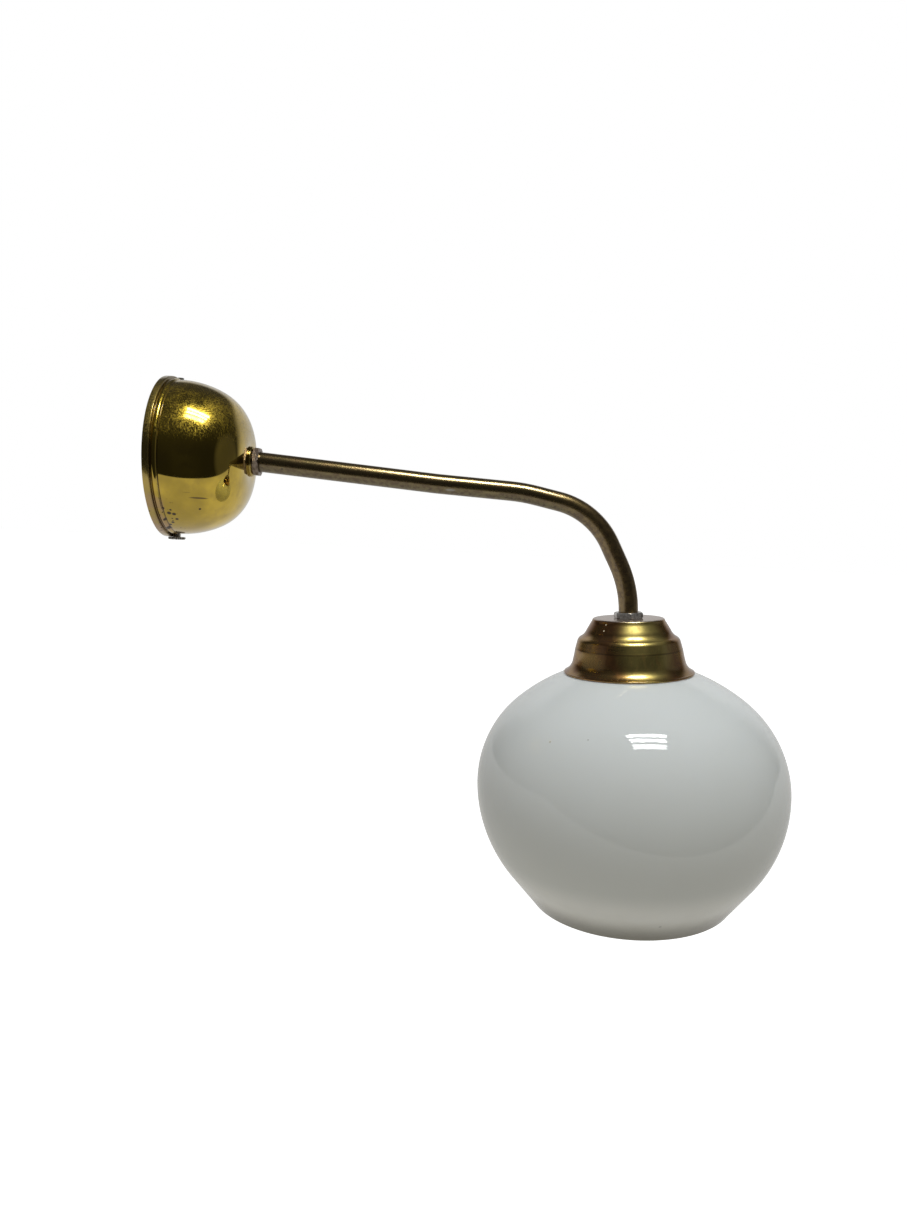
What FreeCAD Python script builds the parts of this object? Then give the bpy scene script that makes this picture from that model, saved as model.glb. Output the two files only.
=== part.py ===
import FreeCAD, Part
import math
import os
import re
import Sketcher
from FreeCAD import Placement, Rotation, Vector

# A wall sconce: a pressed brass cap on a steel strap, a bent brass tube arm with the wires
# inside, and a spun brass gallery that carries a lamp holder, a bulb and an opal glass ball
# that is open below.
# The origin is the centre of the cap's back rim, on the wall. X points out of the wall and
# Z points up. All lengths are millimetres and all angles are degrees.

# Driving dimensions

DIMENSIONS = {
    # Wall cap
    "cap_radius": 40,
    "cap_wall": 0.8,
    "flange_width": 3.2,
    "flange_edge": 0.6,
    "bead_width": 2.4,
    "bead_rise": 0.6,
    "bead_gap": 0.4,
    "groove_width": 0.8,
    "groove_depth": 0.35,
    "bowl_radius": 38.4,
    "bowl_side_arc": 45,
    "bowl_corner_arc": 26,
    "cap_depth": 41.3,
    "tube_clearance": 0.15,
    # Wall strap
    "strap_width": 20,
    "strap_thickness": 2,
    "strap_reach": 35.9,
    "strap_bend": 1,
    "tab_margin": 5,
    "slot_spacing": 54,
    "slot_length": 10,
    "slot_width": 4.5,
    "hook_out": 5,
    "hook_radius": 1.5,
    "hook_sink": 0.4,
    "hook_clearance": 0.2,
    # Screw that fixes the cap to the strap
    "fixing_out": 4.7,
    "fixing_radius": 1.95,
    "fixing_clearance": 0.15,
    "fixing_head_radius": 4.2,
    "fixing_head_height": 1.3,
    "fixing_gap": 0.1,
    "fixing_tip": 1.2,
    "fixing_slot_width": 0.9,
    "fixing_slot_depth": 0.7,
    # Nuts and washers on the arm
    "nut_flats": 13.5,
    "nut_height": 3,
    "nut_chamfer": 0.7,
    "chamfer_angle": 30,
    "ferrule_radius": 7.6,
    "ferrule_top_radius": 6.2,
    "ferrule_edge": 0.8,
    "ferrule_height": 1.8,
    "washer_radius": 9,
    "washer_height": 1.2,
    # Arm
    "tube_radius": 5,
    "tube_bore": 4,
    "tube_back": 30,
    "arm_start_out": 47,
    "arm_start_bend": 60,
    "arm_kink_out": 136,
    "arm_kink_drop": 6.1,
    "arm_kink_bend": 200,
    "arm_sag_out": 180.5,
    "arm_sag_drop": 8.1,
    "arm_sag_bend": 90,
    "arm_elbow_out": 217.5,
    "arm_elbow_drop": 15.5,
    "arm_elbow_bend": 40,
    "arm_plumb_rise": 16.5,
    "arm_plumb_bend": 58,
    "tube_into_holder": 8,
    # Bush in the arm's open end
    "bush_bore": 3,
    "bush_collar": 5.3,
    "bush_collar_height": 1.2,
    "bush_spigot": 4,
    "bush_gap": 0.1,
    # Place and lean of the lamp
    "gallery_out": 238.75,
    "gallery_drop": 69.7,
    "lamp_lean": 4.2,
    # Gallery: radius and depth of each corner of its profile, measured from its top face
    "gallery_wall": 0.7,
    "gallery_top_radius": 18.5,
    "gallery_edge": 1,
    "gallery_neck_radius": 21.6,
    "gallery_neck_depth": 6.2,
    "gallery_cove_radius": 24.3,
    "gallery_cove_depth": 9.4,
    "gallery_cove_arc": 7,
    "gallery_shoulder_radius": 26.4,
    "gallery_shoulder_depth": 12,
    "gallery_shoulder_arc": 3.5,
    "gallery_crease_radius": 27.4,
    "gallery_crease_depth": 15.6,
    "gallery_skirt_radius": 28.9,
    "gallery_skirt_depth": 22.6,
    "gallery_lip_radius": 33.4,
    "gallery_lip_depth": 28.5,
    "gallery_flare_arc": 8,
    "gallery_roll": 0.5,
    # Glass ball
    "glass_radius": 80,
    "glass_depth": 87.8,
    "glass_wall": 3.6,
    "glass_rise": 65.2,
    "glass_side_arc": 56.8,
    "glass_lower_arc": 70.9,
    "glass_taper": 37.8,
    "glass_drop": 60.8,
    "glass_hole": 21,
    "glass_rim_arc": 2.5,
    "glass_gap": 0.3,
    # Lamp holder
    "holder_collar_radius": 8,
    "holder_neck_depth": 8.5,
    "bell_radius": 20.6,
    "bell_wall": 1,
    "bell_top_depth": 10,
    "bell_corner": 3,
    "bell_depth": 22,
    "sleeve_radius": 19.3,
    "sleeve_bore": 17.5,
    "sleeve_top_depth": 15,
    "sleeve_depth": 56,
    "shelf_depth": 24,
    "shelf_height": 1.5,
    "shelf_bore": 16,
    "holder_clearance": 0.3,
    "insert_top_depth": 17,
    "insert_depth": 30,
    "shell_radius": 13.9,
    "shell_wall": 0.5,
    "shell_flange": 9,
    "shell_depth": 54,
    "contact_radius": 3.5,
    "contact_edge": 0.6,
    "contact_crown": 2.2,
    "contact_height": 1.2,
    "holder_screw_place": 11.5,
    "holder_screw_radius": 1.4,
    "holder_screw_head": 2.6,
    "holder_screw_head_height": 1.6,
    "holder_screw_length": 3.8,
    # Ring that clamps the glass
    "ring_radius": 27.4,
    "ring_flange": 2,
    "ring_hub_radius": 22.2,
    "ring_hub_depth": 37,
    # Bulb
    "bulb_radius": 30,
    "bulb_length": 105,
    "bulb_wall": 0.7,
    "bulb_neck_radius": 12.5,
    "bulb_neck_start": 18.8,
    "bulb_neck_end": 27,
    "bulb_cone_radius": 14.4,
    "bulb_cone_start": 30,
    "bulb_cone_arc": 90,
    "bulb_ball_angle": 42,
    "bulb_cap_radius": 13.1,
    "bulb_cap_wall": 0.4,
    "bulb_cap_start": 4.4,
    "bulb_cap_shoulder": 7,
    "bulb_cap_end": 26,
    "bulb_cap_mouth": 10.6,
    "insulator_start": 1.3,
    "insulator_top_radius": 4.5,
    "insulator_radius": 10.5,
    "insulator_end": 5.4,
    "tip_radius": 3.4,
    "tip_crown": 5,
    "tip_gap": 0.05,
    # Terminal block and its screws
    "block_width": 26,
    "block_height": 16,
    "block_depth": 12,
    "block_bottom": 4,
    "pole_spacing": 8,
    "barrel_radius": 2.5,
    "barrel_bore": 1.25,
    "barrel_margin": 1.5,
    "barrel_gap": 0.1,
    "clamp_radius": 1.4,
    "clamp_spacing": 7,
    "clamp_sink": 0.4,
    "mount_screw_radius": 1.1,
    "mount_head_radius": 1.45,
    "mount_head_sink": 2,
    # Earth terminal on the strap
    "earth_drop": 16,
    "earth_screw_radius": 2,
    "earth_head_radius": 3.4,
    "earth_head_height": 2.4,
    "tag_radius": 3.8,
    "tag_thickness": 0.8,
    "tag_neck_width": 3,
    "tag_barrel_radius": 1.6,
    "tag_barrel_start": 11,
    "tag_barrel_end": 6,
    # Wires
    "wire_radius": 1,
    "wire_aside": 1.3,
    "wire_low": 0.75,
    "wire_high": 1.4,
    "wire_turn": 3.4,
    "wire_fan": 12,
    "wire_fan_out": 25,
    "wire_side_depth": 13.2,
    "wire_side_bend": 2.4,
    "wire_side_gap": 0.15,
}

# Sizes worked out from the driving dimensions

WORKED = {
    "tube_hole": "tube_radius + tube_clearance",
    # Cap: two tangent arcs run from the straight rim to the flat crown
    "cap_inside": "bowl_radius - cap_wall",
    "bead_start": "flange_width + bead_gap",
    "bead_end": "bead_start + bead_width",
    "bead_arc": "(pow(bead_width / 2; 2) + pow(bead_rise; 2)) / (2 * bead_rise)",
    "bowl_start": "bead_end + groove_width",
    "side_centre": "bowl_radius - bowl_side_arc",
    "corner_out": "cap_depth - bowl_corner_arc",
    "crown_radius": "side_centre + sqrt(pow(bowl_side_arc - bowl_corner_arc; 2)"
                    " - pow(corner_out - bowl_start; 2))",
    "junction_share": "bowl_side_arc / (bowl_side_arc - bowl_corner_arc)",
    "junction_out": "bowl_start + (corner_out - bowl_start) * junction_share",
    "junction_radius": "side_centre + (crown_radius - side_centre) * junction_share",
    "inner_share": "(bowl_side_arc - cap_wall) / (bowl_side_arc - bowl_corner_arc)",
    "inner_junction_out": "bowl_start + (corner_out - bowl_start) * inner_share",
    "inner_junction_radius": "side_centre + (crown_radius - side_centre) * inner_share",
    "crown_back": "cap_depth - cap_wall",
    # Strap
    "strap_outer_bend": "strap_bend + strap_thickness",
    "strap_inside": "strap_reach - strap_thickness",
    "lower_tab": "fixing_out + tab_margin",
    "upper_tab": "hook_out + tab_margin",
    "hook_top": "cap_radius - hook_sink",
    # Nuts
    "nut_corner": "nut_flats / 2 / cos(30)",
    "ferrule_front": "cap_depth + ferrule_height",
    "washer_back": "crown_back - washer_height",
    "inner_nut_back": "washer_back - nut_height",
    # Glass: the shoulder arc is centred on the axis and touches the side arc
    "side_arc_place": "glass_radius - glass_side_arc",
    "shoulder_step": "glass_rise - glass_radius + side_arc_place",
    "shoulder_sink": "(pow(side_arc_place; 2) - pow(shoulder_step; 2)) / (2 * shoulder_step)",
    "shoulder_arc": "glass_rise + shoulder_sink",
    "shoulder_centre": "glass_depth + shoulder_sink",
    "shoulder_share": "glass_side_arc / (shoulder_arc - glass_side_arc)",
    "inside_share": "(glass_side_arc - glass_wall) / (shoulder_arc - glass_side_arc)",
    "lower_arc_place": "glass_radius - glass_lower_arc",
    "glass_inner_arc": "shoulder_arc - glass_wall",
    "glass_hole_depth": "shoulder_centre - sqrt(pow(shoulder_arc; 2) - pow(glass_hole; 2))",
    "glass_hole_inside": "shoulder_centre - sqrt(pow(glass_inner_arc; 2) - pow(glass_hole; 2))",
    "glass_bottom": "glass_depth + glass_drop",
    # Ring under the glass
    "ring_bore": "sleeve_radius + holder_clearance",
    "ring_arc": "glass_inner_arc - glass_gap",
    "ring_top": "shoulder_centre - sqrt(pow(ring_arc; 2) - pow(ring_bore; 2))",
    "ring_edge": "shoulder_centre - sqrt(pow(ring_arc; 2) - pow(ring_radius; 2))",
    # Holder
    "bell_bore": "bell_radius - bell_wall",
    "insert_radius": "sleeve_bore - holder_clearance",
    "insert_foot": "shelf_bore - holder_clearance",
    "contact_face": "insert_depth + contact_height",
    # Bulb, measured from the face of its solder tip
    "ball_centre": "bulb_length - bulb_radius",
    "bulb_inner_radius": "bulb_radius - bulb_wall",
    # Terminal block
    "block_out": "strap_thickness + block_depth",
    "barrel_out": "strap_thickness + block_depth / 2",
    "block_middle": "block_bottom + block_height / 2",
    "tag_barrel_out": "strap_thickness + tag_thickness / 2 + tag_barrel_radius",
}

WORD = re.compile(r"[a-z_]+")


def bound(expression, inside_worked=False):
    """Prefix each named size in an expression with the object that holds it."""
    def prefix(word):
        name = word.group()
        if name in DIMENSIONS:
            return "Dimensions." + name
        if name in WORKED and not inside_worked:
            return "Worked." + name
        return name
    return WORD.sub(prefix, expression)


document = FreeCAD.newDocument("WallSconce")
sheet = document.addObject("Spreadsheet::Sheet", "Dimensions")
for row, (name, value) in enumerate(DIMENSIONS.items(), start=1):
    sheet.set(f"A{row}", name)
    sheet.set(f"B{row}", str(value))
    sheet.setAlias(f"B{row}", name)
document.recompute()
worked = document.addObject("App::VarSet", "Worked")
for name in WORKED:
    worked.addProperty("App::PropertyFloat", name, "Worked")
for name, expression in WORKED.items():
    worked.setExpression(name, bound(expression, inside_worked=True))
document.recompute()


def number(expression):
    """Value of an expression of named sizes."""
    return float(sheet.evalExpression(bound(expression)))


# Sketches

def new_sketch(body, role):
    """Sketch on one of the body's own origin planes."""
    plane = next(item for item in body.Origin.OriginFeatures if item.Role == role)
    sketch = body.newObject("Sketcher::SketchObject", body.Name + "Sketch")
    sketch.AttachmentSupport = [(plane, "")]
    sketch.MapMode = "FlatFace"
    return sketch


def bind(sketch, constraint, expression):
    """Add a constraint whose value follows an expression."""
    index = sketch.addConstraint(Sketcher.Constraint(*constraint, number(expression)))
    sketch.setExpression(f"Constraints[{index}]", bound(expression))


def fix_point(sketch, edge, end, across, up):
    """Bind a point of the sketch to its two coordinates."""
    for kind, axis, place in (("DistanceX", -2, across), ("DistanceY", -1, up)):
        if place == "0":
            sketch.addConstraint(Sketcher.Constraint("PointOnObject", edge, end, axis))
        else:
            bind(sketch, (kind, -1, 1, edge, end), place)


def draw_outline(sketch, corners):
    """Closed outline through the corners.

    A corner is (across, up). A corner (across, up, radius, side) starts an arc to the next
    corner, centred on the left of its chord for side 1 and on the right for side -1."""
    first = sketch.GeometryCount
    places = [Vector(number(corner[0]), number(corner[1]), 0) for corner in corners]
    ends = []
    for corner, start, finish in zip(corners, places, places[1:] + places[:1]):
        if len(corner) == 2:
            edge = sketch.addGeometry(Part.LineSegment(start, finish))
            ends.append((edge, 1, 2))
            continue
        radius = number(corner[2])
        side = corner[3]
        chord = finish - start
        sagitta_leg = math.sqrt(max(radius ** 2 - (chord.Length / 2) ** 2, 0))
        left = Vector(-chord.y, chord.x, 0).normalize()
        centre = (start + finish) / 2 + left * side * sagitta_leg
        circle = Part.Circle(centre, Vector(0, 0, 1), radius)
        opening, closing = (start, finish) if side > 0 else (finish, start)
        angles = [math.atan2(point.y - centre.y, point.x - centre.x) for point in (opening, closing)]
        edge = sketch.addGeometry(Part.ArcOfCircle(circle, *angles))
        ends.append((edge, 1, 2) if side > 0 else (edge, 2, 1))
    for index, (edge, start_end, finish_end) in enumerate(ends):
        following = ends[(index + 1) % len(ends)]
        sketch.addConstraint(Sketcher.Constraint("Coincident", edge, finish_end, *following[:2]))
        fix_point(sketch, edge, start_end, *corners[index][:2])
        if len(corners[index]) > 2:
            bind(sketch, ("Radius", edge), corners[index][2])
    return first


def draw_circle(sketch, across, up, radius):
    """Circle with a bound centre and radius."""
    centre = Vector(number(across), number(up), 0)
    edge = sketch.addGeometry(Part.Circle(centre, Vector(0, 0, 1), number(radius)))
    fix_point(sketch, edge, 3, across, up)
    bind(sketch, ("Radius", edge), radius)


def draw_slot(sketch, across, middle, length, width):
    """Upright slot with round ends."""
    radius = f"({width}) / 2"
    reach = f"(({length}) - ({width})) / 2"
    x, z = number(across), number(middle)
    half, travel = number(radius), number(reach)
    up = Vector(0, 0, 1)
    top = sketch.addGeometry(Part.ArcOfCircle(Part.Circle(Vector(x, z + travel, 0), up, half), 0, math.pi))
    left = sketch.addGeometry(Part.LineSegment(Vector(x - half, z + travel, 0), Vector(x - half, z - travel, 0)))
    bottom = sketch.addGeometry(
        Part.ArcOfCircle(Part.Circle(Vector(x, z - travel, 0), up, half), math.pi, 2 * math.pi))
    right = sketch.addGeometry(Part.LineSegment(Vector(x + half, z - travel, 0), Vector(x + half, z + travel, 0)))
    for edge, end, following, start in ((top, 2, left, 1), (left, 2, bottom, 1),
                                        (bottom, 2, right, 1), (right, 2, top, 1)):
        sketch.addConstraint(Sketcher.Constraint("Tangent", edge, end, following, start))
    sketch.addConstraint(Sketcher.Constraint("Equal", top, bottom))
    fix_point(sketch, top, 3, across, f"({middle}) + {reach}")
    fix_point(sketch, bottom, 3, across, f"({middle}) - {reach}")
    bind(sketch, ("Radius", top), radius)


# Sub-parts and their places

NODES = []


def keep(item, label):
    """Label a finished sub-part and list it for export."""
    item.Label = label
    NODES.append(item)
    return item


def new_body(label):
    """Empty body that becomes one sub-part."""
    name = "".join(word.title() for word in label.split("_"))
    return keep(document.addObject("PartDesign::Body", name), label)


def place(item, out="0", aside="0", up="0", turn="0"):
    """Bind a place, with a turn about the Y direction."""
    item.Placement = Placement(Vector(0, 0, 0), Rotation(Vector(0, 1, 0), 90))
    for axis, expression in (("Base.x", out), ("Base.y", aside), ("Base.z", up), ("Rotation.Angle", turn)):
        item.setExpression("Placement." + axis, bound(expression))
    return item


def on_arm_axis(item, out="0"):
    """Turn a piece so that its own Z runs along the cap's axis, out of the wall."""
    return place(item, out=out, turn="90")


def on_lamp_axis(item, depth="0"):
    """Hang a piece on the leaning lamp axis, its own Z running down from the gallery's top."""
    return place(
        item,
        out=f"gallery_out + ({depth}) * sin(lamp_lean)",
        up=f"-gallery_drop - ({depth}) * cos(lamp_lean)",
        turn="180 - lamp_lean",
    )


def revolve(body, corners):
    """Turned solid: corners are (radius, height along the body's own Z)."""
    sketch = new_sketch(body, "XZ_Plane")
    draw_outline(sketch, corners)
    revolution = body.newObject("PartDesign::Revolution", body.Name + "Turned")
    revolution.Profile = sketch
    revolution.ReferenceAxis = (sketch, ["V_Axis"])
    revolution.Angle = 360
    document.recompute()
    return body


def turned(label, corners):
    """Sub-part that is turned or spun in one piece."""
    return revolve(new_body(label), corners)


def pocket(body, role, draw, length=None, reverse=False):
    """Cut from one of the origin planes, through everything both ways or one way for a length."""
    sketch = new_sketch(body, role)
    draw(sketch)
    cut = body.newObject("PartDesign::Pocket", body.Name + "Pocket")
    cut.Profile = sketch
    before = body.Shape.Volume
    if length is None:
        cut.Type = "ThroughAll"
        cut.Midplane = True
    else:
        cut.setExpression("Length", bound(length))
        cut.Reversed = reverse
    document.recompute()
    if not body.Shape.Volume < before:
        raise RuntimeError(f"{body.Label}: a pocket cut nothing")


def cylinder(name, radius, height, x="0", y="0", z="0"):
    """Plain cylinder along Z with bound sizes and place."""
    item = document.addObject("Part::Cylinder", name)
    item.setExpression("Radius", bound(radius))
    item.setExpression("Height", bound(height))
    for axis, expression in (("x", x), ("y", y), ("z", z)):
        item.setExpression("Placement.Base." + axis, bound(expression))
    return item


def box(name, length, width, height, x="0", y="0", z="0"):
    """Block with bound sizes whose corner is at a bound place."""
    item = document.addObject("Part::Box", name)
    for side, size in (("Length", length), ("Width", width), ("Height", height)):
        item.setExpression(side, bound(size))
    for axis, expression in (("x", x), ("y", y), ("z", z)):
        item.setExpression("Placement.Base." + axis, bound(expression))
    return item


def joined(name, shapes):
    """Union of several solids."""
    item = document.addObject("Part::MultiFuse", name)
    item.Shapes = shapes
    return item


def cut_from(name, base, tool):
    """One solid less another."""
    item = document.addObject("Part::Cut", name)
    item.Base = base
    item.Tool = tool
    return item


# Wall side

def make_wall_cap():
    """Pressed cup with a flange, a bead and a groove round its rim and a flat crown."""
    cap = turned("wall_cap", [
        ("cap_radius", "0"),
        ("cap_radius", "flange_width - flange_edge", "flange_edge", 1),
        ("cap_radius - flange_edge", "flange_width"),
        ("bowl_radius", "flange_width"),
        ("bowl_radius", "bead_start", "bead_arc", 1),
        ("bowl_radius", "bead_end"),
        ("bowl_radius - groove_depth", "bead_end + groove_width / 2"),
        ("bowl_radius", "bowl_start", "bowl_side_arc", 1),
        ("junction_radius", "junction_out", "bowl_corner_arc", 1),
        ("crown_radius", "cap_depth"),
        ("tube_hole", "cap_depth"),
        ("tube_hole", "crown_back"),
        ("crown_radius", "crown_back", "bowl_corner_arc - cap_wall", -1),
        ("inner_junction_radius", "inner_junction_out", "bowl_side_arc - cap_wall", -1),
        ("cap_inside", "bowl_start"),
        ("cap_inside", "flange_width - cap_wall"),
        ("cap_radius - cap_wall", "flange_width - cap_wall"),
        ("cap_radius - cap_wall", "0"),
    ])
    # Hole for the fixing screw below and for the strap's hook above. The body's own Z runs
    # along the cap's axis, so the wall's upright is the body's X.
    screw_hole = "fixing_radius + fixing_clearance"
    hook_hole = "hook_radius + hook_clearance"
    pocket(cap, "YZ_Plane", lambda sketch: draw_circle(sketch, "0", "fixing_out", screw_hole),
           "cap_radius + flange_width", reverse=True)
    pocket(cap, "YZ_Plane", lambda sketch: draw_circle(sketch, "0", "hook_out", hook_hole),
           "cap_radius + flange_width")
    on_arm_axis(cap)


def make_wall_strap():
    """Bent steel strap: two slots for the wall screws, a hook above and a screw tab below."""
    strap = new_body("wall_plate")
    sketch = new_sketch(strap, "XZ_Plane")
    draw_outline(sketch, [
        ("0", "strap_reach - strap_outer_bend"),
        ("0", "-(strap_reach - strap_outer_bend)", "strap_outer_bend", 1),
        ("strap_outer_bend", "-strap_reach"),
        ("lower_tab", "-strap_reach"),
        ("lower_tab", "-strap_inside"),
        ("strap_outer_bend", "-strap_inside", "strap_bend", -1),
        ("strap_thickness", "-(strap_reach - strap_outer_bend)"),
        ("strap_thickness", "strap_reach - strap_outer_bend", "strap_bend", -1),
        ("strap_outer_bend", "strap_inside"),
        ("upper_tab", "strap_inside"),
        ("upper_tab", "strap_reach"),
        ("strap_outer_bend", "strap_reach", "strap_outer_bend", 1),
    ])
    pad = strap.newObject("PartDesign::Pad", "StrapPad")
    pad.Profile = sketch
    pad.Midplane = True
    pad.setExpression("Length", bound("strap_width"))
    document.recompute()

    def wall_holes(sketch):
        for side in ("", "-"):
            draw_slot(sketch, "0", f"{side}slot_spacing / 2", "slot_length", "slot_width")
        draw_circle(sketch, "pole_spacing / 2", "block_middle", "mount_screw_radius")
        draw_circle(sketch, "0", "-earth_drop", "earth_screw_radius")

    pocket(strap, "YZ_Plane", wall_holes, "upper_tab", reverse=True)
    pocket(strap, "XY_Plane", lambda sketch: draw_circle(
        sketch, "fixing_out", "0", "fixing_radius + fixing_gap"), "strap_reach", reverse=False)
    hook_sketch = new_sketch(strap, "XY_Plane")
    hook_sketch.setExpression("AttachmentOffset.Base.z", bound("strap_inside"))
    draw_circle(hook_sketch, "hook_out", "0", "hook_radius")
    hook = strap.newObject("PartDesign::Pad", "HookPad")
    hook.Profile = hook_sketch
    hook.setExpression("Length", bound("hook_top - strap_inside"))
    document.recompute()


def make_fixing_screw():
    """Screw with a thin slotted head under the cap's rim, in the strap's lower tab."""
    screw = turned("cap_fixing_screw", [
        ("0", "strap_inside - fixing_tip"),
        ("fixing_radius", "strap_inside - fixing_tip"),
        ("fixing_radius", "cap_radius + fixing_gap"),
        ("fixing_head_radius", "cap_radius + fixing_gap"),
        ("fixing_head_radius", "cap_radius + fixing_gap + fixing_head_height - flange_edge / 2"),
        ("fixing_head_radius - flange_edge / 2", "cap_radius + fixing_gap + fixing_head_height"),
        ("0", "cap_radius + fixing_gap + fixing_head_height"),
    ])
    slot_top = "cap_radius + fixing_gap + fixing_head_height"
    pocket(screw, "XZ_Plane", lambda sketch: draw_outline(sketch, [
        ("-fixing_slot_width / 2", f"{slot_top} - fixing_slot_depth"),
        ("fixing_slot_width / 2", f"{slot_top} - fixing_slot_depth"),
        ("fixing_slot_width / 2", f"{slot_top} + fixing_slot_depth"),
        ("-fixing_slot_width / 2", f"{slot_top} + fixing_slot_depth"),
    ]))
    place(screw, out="fixing_out", turn="180")


def hex_nut(label):
    """Hexagon nut with both faces chamfered, on its own Z."""
    name = "".join(word.title() for word in label.split("_"))
    hexagon = document.addObject("Part::Prism", name + "Hexagon")
    hexagon.Polygon = 6
    hexagon.setExpression("Circumradius", bound("nut_corner"))
    hexagon.setExpression("Height", bound("nut_height"))
    cones = []
    small = "nut_corner - nut_chamfer"
    large = "nut_corner - nut_chamfer + nut_height / tan(chamfer_angle)"
    for side, (back, front) in enumerate(((small, large), (large, small))):
        cone = document.addObject("Part::Cone", f"{name}Chamfer{side}")
        cone.setExpression("Radius1", bound(back))
        cone.setExpression("Radius2", bound(front))
        cone.setExpression("Height", bound("nut_height"))
        cones.append(cone)
    blank = document.addObject("Part::MultiCommon", name + "Blank")
    blank.Shapes = [hexagon] + cones
    bore = cylinder(name + "Bore", "tube_hole", "nut_height")
    return keep(cut_from(name, blank, bore), label)


def make_arm_fastenings():
    """Nuts and washers that clamp the arm in the cap's crown."""
    on_arm_axis(hex_nut("arm_outer_nut"), "ferrule_front")
    on_arm_axis(hex_nut("arm_inner_nut"), "inner_nut_back")
    ferrule = turned("cap_ferrule", [
        ("tube_hole", "0"),
        ("ferrule_radius", "0"),
        ("ferrule_radius", "ferrule_edge"),
        ("ferrule_top_radius", "ferrule_height"),
        ("tube_hole", "ferrule_height"),
    ])
    on_arm_axis(ferrule, "cap_depth")
    washer = turned("arm_inner_washer", [
        ("tube_hole", "0"),
        ("washer_radius", "0"),
        ("washer_radius", "washer_height"),
        ("tube_hole", "washer_height"),
    ])
    on_arm_axis(washer, "washer_back")


def make_terminal_block():
    """Three-pole block on the strap, with a brass barrel and two clamp screws to each pole."""
    poles = ("-pole_spacing", "0", "pole_spacing")
    heights = ("block_middle - clamp_spacing / 2", "block_middle + clamp_spacing / 2")
    blank = box("BlockBlank", "block_depth", "block_width", "block_height",
                x="strap_thickness", y="-block_width / 2", z="block_bottom")
    openings = []
    barrels = []
    bores = []
    clamps = []
    for pole, aside in enumerate(poles):
        openings.append(cylinder(f"BlockBore{pole}", "barrel_radius + barrel_gap", "block_height",
                                 x="barrel_out", y=aside, z="block_bottom"))
        barrels.append(cylinder(f"Barrel{pole}", "barrel_radius", "block_height - 2 * barrel_margin",
                                x="barrel_out", y=aside, z="block_bottom + barrel_margin"))
        bores.append(cylinder(f"BarrelBore{pole}", "barrel_bore", "block_height",
                              x="barrel_out", y=aside, z="block_bottom"))
        for level, up in enumerate(heights):
            start = "barrel_out + barrel_bore"
            reach = "block_out - barrel_out - barrel_bore"
            hole = cylinder(f"ClampHole{pole}{level}", "clamp_radius + barrel_gap", reach)
            place(hole, out=start, aside=aside, up=up, turn="90")
            clamp = cylinder(f"Clamp{pole}{level}", "clamp_radius", f"{reach} - clamp_sink")
            place(clamp, out=start, aside=aside, up=up, turn="90")
            openings.append(hole)
            bores.append(hole)
            clamps.append(clamp)
    shank = cylinder("MountHole", "mount_screw_radius + barrel_gap", "block_depth")
    place(shank, out="strap_thickness", aside="pole_spacing / 2", up="block_middle", turn="90")
    head = cylinder("MountRecess", "mount_head_radius + barrel_gap", "mount_head_sink * 2")
    place(head, out="block_out - mount_head_sink * 2", aside="pole_spacing / 2", up="block_middle",
          turn="90")
    keep(cut_from("TerminalHousing", blank, joined("BlockOpenings", openings + [shank, head])),
         "terminal_housing")
    keep(cut_from("TerminalInserts", joined("Barrels", barrels), joined("BarrelBores", bores)),
         "terminal_inserts")
    keep(joined("TerminalScrews", clamps), "terminal_screws")
    screw = turned("terminal_mount_screw", [
        ("0", "0"),
        ("mount_screw_radius", "0"),
        ("mount_screw_radius", "block_out - mount_head_sink * 2"),
        ("mount_head_radius", "block_out - mount_head_sink * 2"),
        ("mount_head_radius", "block_out - mount_head_sink"),
        ("0", "block_out - mount_head_sink"),
    ])
    place(screw, aside="pole_spacing / 2", up="block_middle", turn="90")


def make_earth_terminal():
    """Ring tag under a screw on the strap, with the wire's barrel standing off it."""
    screw = turned("earth_screw", [
        ("0", "0"),
        ("earth_screw_radius", "0"),
        ("earth_screw_radius", "strap_thickness + tag_thickness"),
        ("earth_head_radius", "strap_thickness + tag_thickness"),
        ("earth_head_radius", "strap_thickness + tag_thickness + earth_head_height / 2"),
        ("earth_head_radius - earth_head_height / 2",
         "strap_thickness + tag_thickness + earth_head_height"),
        ("0", "strap_thickness + tag_thickness + earth_head_height"),
    ])
    place(screw, up="-earth_drop", turn="90")
    ring = cylinder("TagRing", "tag_radius", "tag_thickness")
    place(ring, out="strap_thickness", up="-earth_drop", turn="90")
    neck = box("TagNeck", "tag_thickness", "tag_neck_width", "earth_drop - tag_barrel_end",
               x="strap_thickness", y="-tag_neck_width / 2", z="-earth_drop")
    barrel = cylinder("TagBarrel", "tag_barrel_radius", "tag_barrel_start - tag_barrel_end",
                      x="tag_barrel_out", z="-tag_barrel_start")
    hole = cylinder("TagHole", "earth_screw_radius + barrel_gap", "tag_thickness")
    place(hole, out="strap_thickness", up="-earth_drop", turn="90")
    wire_hole = cylinder("TagWireHole", "wire_radius + barrel_gap / 2",
                         "tag_barrel_start - tag_barrel_end", x="tag_barrel_out", z="-tag_barrel_start")
    keep(cut_from("EarthTag", joined("TagBlank", [ring, neck, barrel]),
                  joined("TagHoles", [hole, wire_hole])), "earth_tag")


def make_entry_bush():
    """Bush that keeps the wires off the tube's edge."""
    bush = turned("entry_bush", [
        ("bush_bore", "-bush_collar_height"),
        ("bush_collar", "-bush_collar_height"),
        ("bush_collar", "0"),
        ("bush_spigot - bush_gap", "0"),
        ("bush_spigot - bush_gap", "bush_spigot"),
        ("bush_bore", "bush_spigot"),
    ])
    on_arm_axis(bush, "tube_back")


# Arm and wires

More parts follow.
